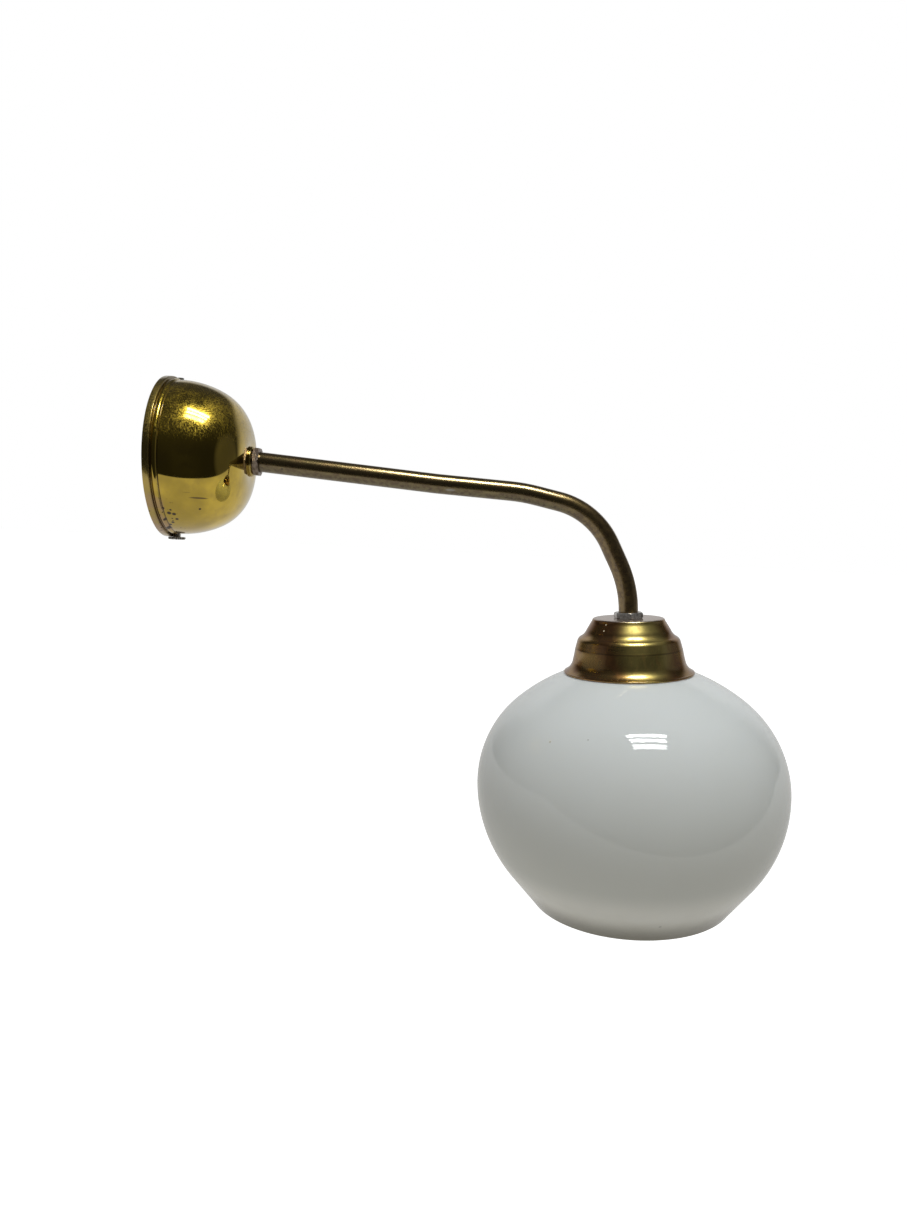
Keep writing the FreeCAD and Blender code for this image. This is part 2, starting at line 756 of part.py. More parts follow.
ARM_ROUTE = [
    # Corner out of the wall, corner height and bend radius
    ("tube_back", "0", None),
    ("arm_start_out", "0", "arm_start_bend"),
    ("arm_kink_out", "-arm_kink_drop", "arm_kink_bend"),
    ("arm_sag_out", "-arm_sag_drop", "arm_sag_bend"),
    ("arm_elbow_out", "-arm_elbow_drop", "arm_elbow_bend"),
    ("gallery_out - arm_plumb_rise * sin(lamp_lean)",
     "-gallery_drop + arm_plumb_rise * cos(lamp_lean)", "arm_plumb_bend"),
    ("gallery_out + tube_into_holder * sin(lamp_lean)",
     "-gallery_drop - tube_into_holder * cos(lamp_lean)", None),
]


def make_arm_tube():
    """Bent tube: straight runs joined by tangent bends, swept in one piece."""
    arm = new_body("arm_tube")
    section = new_sketch(arm, "YZ_Plane")
    section.setExpression("AttachmentOffset.Base.z", bound("tube_back"))
    for radius in ("tube_radius", "tube_bore"):
        draw_circle(section, "0", "0", radius)
    spine = new_sketch(arm, "XZ_Plane")
    corners = [Vector(number(across), number(up), 0) for across, up, bend in ARM_ROUTE]
    ends = [corners[0]]
    bends = []
    for index in range(1, len(corners) - 1):
        radius = number(ARM_ROUTE[index][2])
        start, finish, centre = bend_points(corners[index - 1:index + 2], radius)
        ends += [start, finish]
        bends.append((start, finish, centre, radius))
    ends.append(corners[-1])
    runs = [spine.addGeometry(Part.LineSegment(*ends[index:index + 2]))
            for index in range(0, len(ends), 2)]
    marks = [spine.addGeometry(Part.Point(corner), True) for corner in corners]
    for mark, (across, up, bend) in zip(marks, ARM_ROUTE):
        fix_point(spine, mark, 1, across, up)
    spine.addConstraint(Sketcher.Constraint("Coincident", runs[0], 1, marks[0], 1))
    spine.addConstraint(Sketcher.Constraint("Coincident", runs[-1], 2, marks[-1], 1))
    for index, (start, finish, centre, radius) in enumerate(bends):
        angles = [math.atan2(point.y - centre.y, point.x - centre.x) for point in (start, finish)]
        rightward = (finish - start).cross(centre - start).z < 0
        first_end, last_end = (2, 1) if rightward else (1, 2)
        if rightward:
            angles.reverse()
        circle = Part.Circle(centre, Vector(0, 0, 1), radius)
        bend = spine.addGeometry(Part.ArcOfCircle(circle, *angles))
        spine.addConstraint(Sketcher.Constraint("Tangent", runs[index], 2, bend, first_end))
        spine.addConstraint(Sketcher.Constraint("Tangent", bend, last_end, runs[index + 1], 1))
        spine.addConstraint(Sketcher.Constraint("PointOnObject", marks[index + 1], 1, runs[index]))
        spine.addConstraint(Sketcher.Constraint("PointOnObject", marks[index + 1], 1, runs[index + 1]))
        bind(spine, ("Radius", bend), ARM_ROUTE[index + 1][2])
    document.recompute()
    pipe = arm.newObject("PartDesign::AdditivePipe", "ArmPipe")
    pipe.Profile = section
    pipe.Spine = spine
    document.recompute()


def bend_points(corners, radius):
    """Start, end and centre of the arc that rounds the middle one of three corners."""
    before, corner, after = corners
    back = (before - corner).normalize()
    ahead = (after - corner).normalize()
    half = back.getAngle(ahead) / 2
    start = corner + back * (radius / math.tan(half))
    finish = corner + ahead * (radius / math.tan(half))
    centre = corner + (back + ahead).normalize() * (radius / math.sin(half))
    return start, finish, centre


def rounded_wire(corners, radii):
    """Wire through straight runs with an arc of the given radius at each inner corner."""
    edges = []
    last = corners[0]
    for index, radius in enumerate(radii, start=1):
        start, finish, centre = bend_points(corners[index - 1:index + 2], radius)
        middle = centre + (corners[index] - centre).normalize() * radius
        edges.append(Part.LineSegment(last, start).toShape())
        edges.append(Part.Arc(start, middle, finish).toShape())
        last = finish
    edges.append(Part.LineSegment(last, corners[-1]).toShape())
    return Part.Wire(edges)


def offset_arm_route(aside, above):
    """Corners and radii of the arm's route, shifted sideways and towards its upper side."""
    points = [Vector(number(across), 0, number(up)) for across, up, bend in ARM_ROUTE]
    radii = [number(bend) for across, up, bend in ARM_ROUTE if bend]
    uppers = []
    for start, finish in zip(points, points[1:]):
        ahead = (finish - start).normalize()
        uppers.append(Vector(-ahead.z, 0, ahead.x))
    corners = [points[0] + uppers[0] * above]
    shifted = []
    for index, radius in enumerate(radii, start=1):
        before, after = uppers[index - 1], uppers[index]
        corners.append(points[index] + (before + after) * (above / (1 + before.dot(after))))
        downward = before.cross(after).y > 0
        shifted.append(radius + above if downward else radius - above)
    corners.append(points[-1] + uppers[-1] * above)
    return [corner + Vector(0, aside, 0) for corner in corners], shifted


def lamp_point(across, aside, depth):
    """Point given by its place in the lamp's leaning frame."""
    lean = math.radians(number("lamp_lean"))
    down = Vector(math.sin(lean), 0, -math.cos(lean))
    outward = Vector(math.cos(lean), 0, math.sin(lean))
    origin = Vector(number("gallery_out"), 0, -number("gallery_drop"))
    return origin + down * depth + outward * across + Vector(0, aside, 0)


def wire(label, corners, radii):
    """Insulated wire along a rounded route."""
    route = rounded_wire(corners, radii)
    radius = number("wire_radius")
    section = Part.Wire(Part.Circle(corners[0], corners[1] - corners[0], radius).toShape())
    solid = route.makePipeShell([section], True, False)
    expected = math.pi * radius ** 2 * route.Length
    if abs(solid.Volume - expected) > expected / 100:
        raise RuntimeError(f"{label}: volume {solid.Volume:.1f}, expected {expected:.1f}")
    print(label, "length", round(route.Length, 1), "radii", [round(value, 1) for value in radii])
    item = document.addObject("Part::Feature", "".join(word.title() for word in label.split("_")))
    item.Shape = solid
    keep(item, label)


def make_wires():
    """Live and neutral run from the block, and earth from its tag, through the arm."""
    insert_face = number("insert_top_depth")
    fan = [number("wire_turn"), number("wire_fan")]
    for label, side in (("live_wire", -1), ("neutral_wire", 1)):
        aside = side * number("wire_aside")
        low = -number("wire_low")
        corners, radii = offset_arm_route(aside, low)
        corners[0].x = number("wire_fan_out")
        corners[-1] = lamp_point(low, aside, insert_face)
        pole_out, pole_aside = number("barrel_out"), side * number("pole_spacing")
        start = [
            Vector(pole_out, pole_aside, number("block_bottom + barrel_margin * 2")),
            Vector(pole_out, pole_aside, low),
        ]
        wire(label, start + corners, fan + radii)
    high = number("wire_high")
    corners, radii = offset_arm_route(0, high)
    tag_out = number("tag_barrel_out")
    start = [Vector(tag_out, 0, -number("tag_barrel_start - barrel_margin")), Vector(tag_out, 0, high)]
    side_depth = number("wire_side_depth")
    finish = [
        lamp_point(high, 0, side_depth),
        lamp_point(number("bell_bore - wire_side_gap"), 0, side_depth),
    ]
    wire("earth_wire", start + corners[1:-1] + finish,
         [number("wire_turn")] + radii + [number("wire_side_bend")])


# Lamp side, each piece measured down from the gallery's top face

def make_gallery():
    """Spun cover: flat top, coved neck, stepped shoulder and a flared, rolled lip."""
    gallery = turned("gallery", [
        ("tube_hole", "0"),
        ("gallery_top_radius - gallery_edge", "0", "gallery_edge", 1),
        ("gallery_top_radius", "gallery_edge"),
        ("gallery_neck_radius", "gallery_neck_depth", "gallery_cove_arc", -1),
        ("gallery_cove_radius", "gallery_cove_depth", "gallery_shoulder_arc", 1),
        ("gallery_shoulder_radius", "gallery_shoulder_depth"),
        ("gallery_crease_radius", "gallery_crease_depth"),
        ("gallery_skirt_radius", "gallery_skirt_depth", "gallery_flare_arc", -1),
        ("gallery_lip_radius - gallery_roll", "gallery_lip_depth - 2 * gallery_roll", "gallery_roll", 1),
        ("gallery_lip_radius", "gallery_lip_depth - gallery_roll", "gallery_roll", 1),
        ("gallery_lip_radius - gallery_roll", "gallery_lip_depth", "gallery_flare_arc + gallery_wall", 1),
        ("gallery_skirt_radius - gallery_wall", "gallery_skirt_depth"),
        ("gallery_crease_radius - gallery_wall", "gallery_crease_depth"),
        ("gallery_shoulder_radius - gallery_wall", "gallery_shoulder_depth + gallery_wall"),
        ("gallery_cove_radius - gallery_wall", "gallery_cove_depth + gallery_wall",
         "gallery_cove_arc + gallery_wall", 1),
        ("gallery_neck_radius - gallery_wall", "gallery_neck_depth + gallery_wall / 2"),
        ("gallery_top_radius - gallery_wall", "gallery_wall"),
        ("tube_hole", "gallery_wall"),
    ])
    on_lamp_axis(gallery)
    on_lamp_axis(hex_nut("gallery_nut"), "-nut_height")


def make_glass():
    """Opal ball, wider than high, with a small hole above and a wide open mouth below."""
    def shoulder(share):
        """Point where the shoulder arc meets the side arc."""
        return (f"side_arc_place + side_arc_place * {share}",
                f"glass_depth - shoulder_sink * {share}")

    def taper(arc):
        """Point where the lower arc gives way to the straight taper."""
        return (f"lower_arc_place + ({arc}) * cos(glass_taper)",
                f"glass_depth + ({arc}) * sin(glass_taper)")

    def mouth(arc, depth):
        """Point of the straight taper at a depth."""
        across, height = taper(arc)
        return f"{across} - ({depth} - ({height})) * tan(glass_taper)", depth

    inner = "glass_lower_arc - glass_wall"
    rim = "glass_bottom - glass_rim_arc / 2"
    glass = turned("glass_shade", [
        ("glass_hole", "glass_hole_depth", "shoulder_arc", 1),
        (*shoulder("shoulder_share"), "glass_side_arc", 1),
        ("glass_radius", "glass_depth", "glass_lower_arc", 1),
        taper("glass_lower_arc"),
        (*mouth("glass_lower_arc", rim), "glass_rim_arc", 1),
        mouth(inner, rim),
        (*taper(inner), "glass_lower_arc - glass_wall", -1),
        ("glass_radius - glass_wall", "glass_depth", "glass_side_arc - glass_wall", -1),
        (*shoulder("inside_share"), "glass_inner_arc", -1),
        ("glass_hole", "glass_hole_inside"),
    ])
    on_lamp_axis(glass)


def make_holder():
    """Lamp holder: threaded cap, porcelain insert, contacts and outer sleeve."""
    cap = turned("holder_cap", [
        ("tube_hole", "gallery_wall"),
        ("holder_collar_radius", "gallery_wall"),
        ("holder_collar_radius", "holder_neck_depth"),
        ("bell_radius - bell_corner", "bell_top_depth", "bell_corner", 1),
        ("bell_radius", "bell_top_depth + bell_corner"),
        ("bell_radius", "bell_depth"),
        ("bell_bore", "bell_depth"),
        ("bell_bore", "bell_top_depth + bell_corner", "bell_corner - bell_wall", -1),
        ("bell_radius - bell_corner", "bell_top_depth + bell_wall"),
        ("tube_hole", "holder_neck_depth + bell_wall"),
    ])
    on_lamp_axis(cap)
    insert = turned("holder_insert", [
        ("0", "insert_top_depth"),
        ("insert_radius", "insert_top_depth"),
        ("insert_radius", "shelf_depth"),
        ("insert_foot", "shelf_depth"),
        ("insert_foot", "insert_depth"),
        ("0", "insert_depth"),
    ])

    def screw_holes(sketch):
        for side in ("", "-"):
            draw_circle(sketch, f"{side}holder_screw_place", "0", "holder_screw_radius + barrel_gap")

    pocket(insert, "XY_Plane", screw_holes, "insert_top_depth + holder_screw_length + barrel_gap",
           reverse=True)
    on_lamp_axis(insert)
    shell = turned("holder_screw_shell", [
        ("shell_flange", "insert_depth"),
        ("shell_radius", "insert_depth"),
        ("shell_radius", "shell_depth"),
        ("shell_radius - shell_wall", "shell_depth"),
        ("shell_radius - shell_wall", "insert_depth + shell_wall"),
        ("shell_flange", "insert_depth + shell_wall"),
    ])
    on_lamp_axis(shell)
    contact = turned("holder_centre_contact", [
        ("0", "insert_depth"),
        ("contact_radius", "insert_depth"),
        ("contact_radius", "insert_depth + contact_edge"),
        ("contact_crown", "contact_face"),
        ("0", "contact_face"),
    ])
    on_lamp_axis(contact)
    sleeve = turned("holder_sleeve", [
        ("sleeve_bore", "sleeve_top_depth"),
        ("sleeve_radius", "sleeve_top_depth"),
        ("sleeve_radius", "sleeve_depth"),
        ("sleeve_bore", "sleeve_depth"),
        ("sleeve_bore", "shelf_depth + shelf_height"),
        ("shelf_bore", "shelf_depth + shelf_height"),
        ("shelf_bore", "shelf_depth"),
        ("sleeve_bore", "shelf_depth"),
    ])
    on_lamp_axis(sleeve)
    parts = []
    for side in ("", "-"):
        name = "HolderScrewIn" if side else "HolderScrewOut"
        place_x = f"{side}holder_screw_place"
        parts.append(cylinder(name + "Head", "holder_screw_head", "holder_screw_head_height",
                              x=place_x, z="insert_top_depth - holder_screw_head_height"))
        parts.append(cylinder(name + "Shank", "holder_screw_radius", "holder_screw_length",
                              x=place_x, z="insert_top_depth"))
    on_lamp_axis(keep(joined("HolderTerminalScrews", parts), "holder_terminal_screws"))


def make_shade_ring():
    """Ring on the sleeve's thread, dished to the inside of the glass."""
    ring = turned("shade_ring", [
        ("ring_bore", "ring_top", "ring_arc", 1),
        ("ring_radius", "ring_edge"),
        ("ring_radius", "ring_edge + ring_flange"),
        ("ring_hub_radius", "ring_edge + ring_flange"),
        ("ring_hub_radius", "ring_hub_depth"),
        ("ring_bore", "ring_hub_depth"),
    ])
    on_lamp_axis(ring)


def make_bulb():
    """Screw-cap bulb, each piece measured from the face of its solder tip."""
    ball_across = "{0} * cos(bulb_ball_angle)"
    ball_height = "ball_centre - {0} * sin(bulb_ball_angle)"
    envelope = turned("bulb_glass", [
        ("bulb_neck_radius", "bulb_neck_start"),
        ("bulb_neck_radius", "bulb_neck_end"),
        ("bulb_cone_radius", "bulb_cone_start", "bulb_cone_arc", -1),
        (ball_across.format("bulb_radius"), ball_height.format("bulb_radius"), "bulb_radius", 1),
        ("bulb_radius", "ball_centre", "bulb_radius", 1),
        ("0", "bulb_length"),
        ("0", "bulb_length - bulb_wall", "bulb_inner_radius", -1),
        ("bulb_inner_radius", "ball_centre", "bulb_inner_radius", -1),
        (ball_across.format("bulb_inner_radius"), ball_height.format("bulb_inner_radius"),
         "bulb_cone_arc + bulb_wall", 1),
        ("bulb_cone_radius - bulb_wall", "bulb_cone_start + bulb_wall / 2"),
        ("bulb_neck_radius - bulb_wall", "bulb_neck_end + bulb_wall / 2"),
        ("bulb_neck_radius - bulb_wall", "bulb_neck_start"),
    ])
    on_lamp_axis(envelope, "contact_face")
    cap = turned("bulb_cap", [
        ("bulb_cap_mouth", "bulb_cap_start"),
        ("bulb_cap_radius", "bulb_cap_shoulder"),
        ("bulb_cap_radius", "bulb_cap_end"),
        ("bulb_cap_radius - bulb_cap_wall", "bulb_cap_end"),
        ("bulb_cap_radius - bulb_cap_wall", "bulb_cap_shoulder + bulb_cap_wall"),
        ("bulb_cap_mouth", "bulb_cap_start + bulb_cap_wall"),
    ])
    on_lamp_axis(cap, "contact_face")
    insulator = turned("bulb_insulator", [
        ("0", "insulator_start"),
        ("insulator_top_radius", "insulator_start"),
        ("insulator_radius", "bulb_cap_start"),
        ("insulator_radius", "insulator_end"),
        ("0", "insulator_end"),
    ])
    on_lamp_axis(insulator, "contact_face")
    tip = turned("bulb_tip", [
        ("0", "0", "tip_crown", 1),
        ("tip_radius", "insulator_start - tip_gap"),
        ("0", "insulator_start - tip_gap"),
    ])
    on_lamp_axis(tip, "contact_face")


make_wall_cap()
make_wall_strap()
make_fixing_screw()
make_arm_fastenings()
make_terminal_block()
make_earth_terminal()
make_entry_bush()
make_arm_tube()
make_wires()
make_gallery()
make_glass()
make_holder()
make_shade_ring()
make_bulb()
document.recompute()

# Checks before anything is written

for item in document.Objects:
    if "Invalid" in item.State or "Error" in item.State:
        raise RuntimeError(f"{item.Label}: {item.State}")
for item in NODES:
    if item.Shape.isNull() or not item.Shape.isValid() or not item.Shape.Solids:
        raise RuntimeError(f"{item.Label}: shape is empty or not valid")

os.makedirs("parts", exist_ok=True)
for item in NODES:
    item.Shape.exportStep(os.path.join("parts", item.Label + ".step"))
print(len(NODES), "sub-parts written")
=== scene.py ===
import math

import bmesh
import bpy
from mathutils import Matrix, Vector


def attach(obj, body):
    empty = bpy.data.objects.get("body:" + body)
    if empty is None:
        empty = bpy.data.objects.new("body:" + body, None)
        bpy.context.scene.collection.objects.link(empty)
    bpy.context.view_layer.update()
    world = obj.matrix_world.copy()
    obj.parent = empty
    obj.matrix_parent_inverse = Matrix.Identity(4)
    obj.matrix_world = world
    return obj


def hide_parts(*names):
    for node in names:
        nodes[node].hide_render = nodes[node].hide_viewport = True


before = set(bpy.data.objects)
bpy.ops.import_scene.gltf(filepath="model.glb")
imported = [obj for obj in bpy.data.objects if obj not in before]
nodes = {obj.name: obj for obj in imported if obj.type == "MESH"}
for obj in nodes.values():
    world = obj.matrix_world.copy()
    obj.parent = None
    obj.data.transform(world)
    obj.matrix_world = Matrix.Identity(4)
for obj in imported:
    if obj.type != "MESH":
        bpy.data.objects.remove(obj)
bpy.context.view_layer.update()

# The viewpoint
# The lamp is seen from in front of the arm and a little below the wall cap, from under half
# a metre away, with the view tipped down towards the glass.
camera = bpy.data.objects.new("viewpoint", bpy.data.cameras.new("viewpoint"))
bpy.context.scene.collection.objects.link(camera)
camera.data.sensor_width = 36
camera.data.lens = 25.01
camera.data.clip_start = 0.01
view_right = Vector((0.99855, -0.01157, 0.05264))
view_up = Vector((-0.05134, 0.09275, 0.99436))
view_back = view_right.cross(view_up)
view_from = Matrix.Translation((0.14062, -0.43239, -0.02749))
camera.matrix_world = view_from @ Matrix((view_right, view_up, view_back)).transposed().to_4x4()
bpy.context.scene.camera = camera
bpy.context.scene.view_settings.view_transform = "Standard"


# Wall cap
# A pressed brass cup with a flange, a bead and a groove round its rim. It is polished and
# lacquered, and the lacquer is now scratched, pitted along the rim and stained underneath.

def arc(start, end, radius, side, steps=10):
    """Points after the start of an arc, whose centre is left of its chord for side 1."""
    start, end = Vector(start), Vector(end)
    chord = end - start
    lift = math.sqrt(max(radius ** 2 - (chord.length / 2) ** 2, 0))
    centre = (start + end) / 2 + Vector((-chord.y, chord.x)).normalized() * side * lift
    first = math.atan2(*(start - centre).yx)
    sweep = math.atan2(*(end - centre).yx) - first
    if side > 0 and sweep < 0:
        sweep += 2 * math.pi
    if side < 0 and sweep > 0:
        sweep -= 2 * math.pi
    return [
        (centre.x + radius * math.cos(first + sweep * step / steps),
         centre.y + radius * math.sin(first + sweep * step / steps))
        for step in range(1, steps + 1)
    ]


def eased(outline, size):
    """Outline with each sharp corner off the axis rounded a little."""
    result = []
    for index, corner in enumerate(outline):
        point = Vector(corner)
        before = Vector(outline[index - 1]) - point
        after = Vector(outline[(index + 1) % len(outline)]) - point
        turn = math.pi - before.angle(after)
        cut = min(size, before.length * 0.4, after.length * 0.4)
        if turn < 0.45 or point.x < 0.01 or cut < 0.01:
            result.append(tuple(corner))
            continue
        start, end = point + before.normalized() * cut, point + after.normalized() * cut
        for step in range(4):
            share = step / 3
            curve = start * (1 - share) ** 2 + point * 2 * share * (1 - share) + end * share ** 2
            result.append(tuple(curve))
    return result


def mesh_piece(name, vertices, faces, place=None, crease=30):
    """Piece made from vertices in millimetres, smooth except at its creases."""
    mesh = bpy.data.meshes.new(name)
    mesh.from_pydata([Vector(vertex) / 1000 for vertex in vertices], [], faces)
    grown = bmesh.new()
    grown.from_mesh(mesh)
    bmesh.ops.remove_doubles(grown, verts=grown.verts, dist=1e-7)
    bmesh.ops.recalc_face_normals(grown, faces=grown.faces)
    if place is not None:
        bmesh.ops.transform(grown, matrix=place, verts=grown.verts)
    grown.to_mesh(mesh)
    grown.free()
    mesh.shade_smooth()
    mesh.set_sharp_from_angle(angle=math.radians(crease))
    piece = bpy.data.objects.new(name, mesh)
    bpy.context.scene.collection.objects.link(piece)
    return piece


def spun(name, outline, place, turns=160, shaped=None, crease=30):
    """Closed outline of (radius, height) spun about its own Z; shaped may bend each point."""
    vertices = []
    rings = []
    for radius, height in outline:
        ring = []
        for step in range(turns):
            angle = 2 * math.pi * step / turns
            here, level = shaped(radius, height, angle) if shaped else (radius, height)
            ring.append(len(vertices))
            vertices.append((here * math.cos(angle), here * math.sin(angle), level))
            if here < 0.001:
                ring *= turns
                break
        rings.append(ring)
    faces = []
    for ring, following in zip(rings, rings[1:] + rings[:1]):
        for step in range(turns):
            ahead = (step + 1) % turns
            corners = dict.fromkeys((ring[step], ring[ahead], following[ahead], following[step]))
            if len(corners) > 2:
                faces.append(list(corners))
    return mesh_piece(name, vertices, faces, place, crease)


class Surface:
    """One shader socket, so that the make-up of a finish is written as plain arithmetic."""

    def __init__(self, tree, socket=None):
        self.tree = tree
        self.socket = socket

    def node(self, kind, sockets, output=0, **settings):
        """Any other node: its type, its sockets' values or links, and the settings made first."""
        made = self.tree.nodes.new("ShaderNode" + kind)
        for setting, value in settings.items():
            setattr(made, setting, value)
        for name, value in sockets.items():
            if isinstance(value, Surface):
                self.tree.links.new(value.socket, made.inputs[name])
            else:
                made.inputs[name].default_value = value
        return Surface(self.tree, made.outputs[output])

    def maths(self, operation, first, second=0):
        """One Math node on two values or sockets."""
        return self.node("Math", {0: first, 1: second}, operation=operation)

    def __add__(self, other):
        return self.maths("ADD", self, other)

    def __sub__(self, other):
        return self.maths("SUBTRACT", self, other)

    def __rsub__(self, other):
        return self.maths("SUBTRACT", other, self)

    def __mul__(self, other):
        return self.maths("MULTIPLY", self, other)

    __radd__ = __add__
    __rmul__ = __mul__

    def __abs__(self):
        return self.maths("ABSOLUTE", self)

    def at_most(self, limit):
        return self.maths("MINIMUM", self, limit)

    def or_larger(self, other):
        return self.maths("MAXIMUM", self, other)

    def rise(self, low, high):
        """Smooth step from 0 at low to 1 at high."""
        return self.node("MapRange", {"Value": self, "From Min": low, "From Max": high},
                         interpolation_type="SMOOTHSTEP")

    def between(self, colour, other):
        """Colour where this mask is 0, and the other where it is 1."""
        return self.node("Mix", {0: self, 6: colour, 7: other}, output=2, data_type="RGBA")

    def axis(self, name):
        return self.node("SeparateXYZ", {0: self}, output=name)

    def noise(self, scale, detail=2.0, stretch=(1, 1, 1), turn=(0, 0, 0), offset=(0, 0, 0)):
        """Cloudy noise, or streaks where it is stretched and turned."""
        moved = self.node("Mapping", {"Vector": self, "Location": offset, "Rotation": turn,
                                      "Scale": stretch})
        return moved.node("TexNoise", {"Vector": moved, "Scale": scale, "Detail": detail})

    def spots(self, scale, size, offset):
        """Scattered round spots."""
        moved = self.node("Mapping", {"Vector": self, "Location": offset})
        found = moved.node("TexVoronoi", {"Vector": moved, "Scale": scale})
        return 1 - found.rise(size * 0.6, size)

    def mark(self, place, size, stretch=(1, 1, 1)):
        """One soft patch at a place, of a given half width, squeezed along some axes; it draws blemishes
        and a painted highlight.
        """
        shift = [-value * factor for value, factor in zip(place, stretch)]
        moved = self.node("Mapping", {"Vector": self, "Location": shift, "Scale": stretch})
        away = moved.node("VectorMath", {0: moved}, output="Value", operation="LENGTH")
        return 1 - away.rise(size * 0.5, size)

    def scratches(self, shift, width):
        """Fine hairlines that cross each other at three angles."""
        lines = 0
        for index, turn in enumerate(((0.4, 0.3, 0.7), (1.3, 0.9, 2.0), (2.2, 1.7, 3.4))):
            offset = (shift + 7 * index, shift, 3)
            streak = self.noise(1.0, 1.0, stretch=(0.09, 1.7, 0.9), turn=turn, offset=offset)
            lines = (1 - abs(streak - 0.5).rise(width * 0.3, width)) + lines
        return lines


class Finish:
    """Material with one principled shader, whose place is in millimetres on its piece's axes."""

    def __init__(self, name, slot, at=None, **constants):
        self.slot = slot
        self.material = bpy.data.materials.new(name)
        self.material.use_nodes = True
        self.tree = self.material.node_tree
        self.shader = self.tree.nodes["Principled BSDF"]
        for socket, value in constants.items():
            self.shader.inputs[socket.replace("_", " ")].default_value = value
        corner = Surface(self.tree).node("TexCoord", {}, output="Object")
        self.world_place = corner.node("VectorMath", {0: corner, "Scale": 1000.0}, operation="SCALE")
        self.place = self.world_place
        if at is not None:
            self.place = corner.node("Mapping", {
                "Vector": self.world_place, "Location": at.translation * 1000, "Rotation": at.to_euler()},
                vector_type="TEXTURE")

    def facing(self):
        """Direction that the surface faces."""
        return Surface(self.tree).node("TexCoord", {}, output="Normal")

    def vary(self, **links):
        """Link what varies: Base_Color, Roughness and so on."""
        for socket, value in links.items():
            self.tree.links.new(value.socket, self.shader.inputs[socket.replace("_", " ")])

    def relief(self, height, distance):
        """Bump of a height map, with its full height in millimetres."""
        bump = height.node("Bump", {"Height": height, "Distance": distance / 1000, "Strength": 1.0})
        self.tree.links.new(bump.socket, self.shader.inputs["Normal"])

    def put_on(self, piece):
        """Make this the piece's only material."""
        piece.data.materials.clear()
        piece.data.materials.append(self.material)


def dress(piece, finish, body, replaced):
    """Give a new piece its finish, its body and the frame's node that it stands for."""
    finish.put_on(piece)
    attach(piece, body)
    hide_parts(replaced)


def dress_node(finish, *names):
    """Give the frame's own nodes a finish."""
    for name in names:
        finish.put_on(nodes[name])


along_arm = Matrix.Rotation(math.radians(90), 4, "Y")
tube_hole = 5.15
cap_radius = 40
cap_depth = 41.3
cap_wall = 0.8
flange_width = 3.2
flange_edge = 0.6
flange_turn = flange_width - flange_edge
bowl_radius = 38.4
bowl_start = 6.85
bead_start = 3.6
bead_end = 6.0
crown_edge = 7.5
side_arc = 45
corner_arc = 26
side_start = 6.8
centres_apart = side_arc - corner_arc
centres_climb = cap_depth - corner_arc - side_start
side_centre = bowl_radius - side_arc
crown = side_centre + math.sqrt(centres_apart ** 2 - centres_climb ** 2)


def bowl_meeting(radius):
    """Where the bowl's side arc, of a given radius, meets its corner arc."""
    share = radius / centres_apart
    return side_centre + (crown - side_centre) * share, side_start + centres_climb * share


cap_inside = cap_depth - cap_wall
meeting = bowl_meeting(side_arc)
inner_meeting = bowl_meeting(side_arc - cap_wall)
cap_outline = eased([(cap_radius - cap_wall, 0), (cap_radius, 0), (cap_radius, flange_turn)], 0.15)
cap_outline += arc((cap_radius, flange_turn), (cap_radius - flange_edge, flange_width), flange_edge, 1, 6)
cap_outline += [(38.75, flange_width), (38.5, 3.28), (bowl_radius, 3.45), (bowl_radius, bead_start)]
cap_outline += arc((bowl_radius, bead_start), (bowl_radius, bead_end), 1.5, 1, 14)
cap_outline += [(38.25, 6.15), (38.08, 6.32), (38.05, 6.42), (38.1, 6.52), (38.28, 6.68)]
cap_outline += [(bowl_radius, bowl_start)] + arc((bowl_radius, bowl_start), meeting, side_arc, 1, 30)
cap_outline += arc(meeting, (crown, cap_depth), corner_arc, 1, 34)
cap_outline += eased([(crown_edge, cap_depth), (tube_hole, cap_depth), (tube_hole, cap_inside),
                      (crown_edge, cap_inside)], 0.15)
cap_outline += [(crown, cap_inside)]
cap_outline += arc((crown, cap_inside), inner_meeting, corner_arc - cap_wall, -1, 24)
cap_outline += arc(inner_meeting, (bowl_radius - cap_wall, side_start), side_arc - cap_wall, -1, 20)
cap_outline += [(37.6, 2.6), (37.8, 2.4), (cap_radius - cap_wall, 2.4)]
cap = spun("cap_shell", cap_outline, along_arm, turns=224)


def cut_away(piece, bit, place):
    """Cut a shape, made in millimetres, out of a piece."""
    bit_mesh = bpy.data.meshes.new("bit")
    bmesh.ops.scale(bit, vec=(0.001, 0.001, 0.001), verts=bit.verts)
    bit.to_mesh(bit_mesh)
    bit.free()
    bit_object = bpy.data.objects.new("bit", bit_mesh)
    bit_object.matrix_world = place
    bpy.context.scene.collection.objects.link(bit_object)
    cut = piece.modifiers.new("cut", "BOOLEAN")
    cut.object = bit_object
    cut.solver = "EXACT"
    bpy.context.view_layer.update()
    carved = bpy.data.meshes.new_from_object(piece.evaluated_get(bpy.context.evaluated_depsgraph_get()))
    piece.modifiers.clear()
    piece.data = carved
    bpy.data.objects.remove(bit_object)
    carved.set_sharp_from_angle(angle=math.radians(30))


def drill(piece, radius, depth, place):
    """Drill a round hole along the place's Z, centred on it."""
    bit = bmesh.new()
    bmesh.ops.create_cone(bit, cap_ends=True, segments=40, radius1=radius, radius2=radius, depth=depth)
    cut_away(piece, bit, place)


# The fixing screw's hole and the strap hook's, in metres out from the wall and off the axis.
fixing_out = 0.0047
hook_out = 0.005
rim_level = 0.039
rim_hole_depth = 8
drill(cap, 2.1, rim_hole_depth, Matrix.Translation((fixing_out, 0, -rim_level)))
drill(cap, 1.7, rim_hole_depth, Matrix.Translation((hook_out, 0, rim_level)))

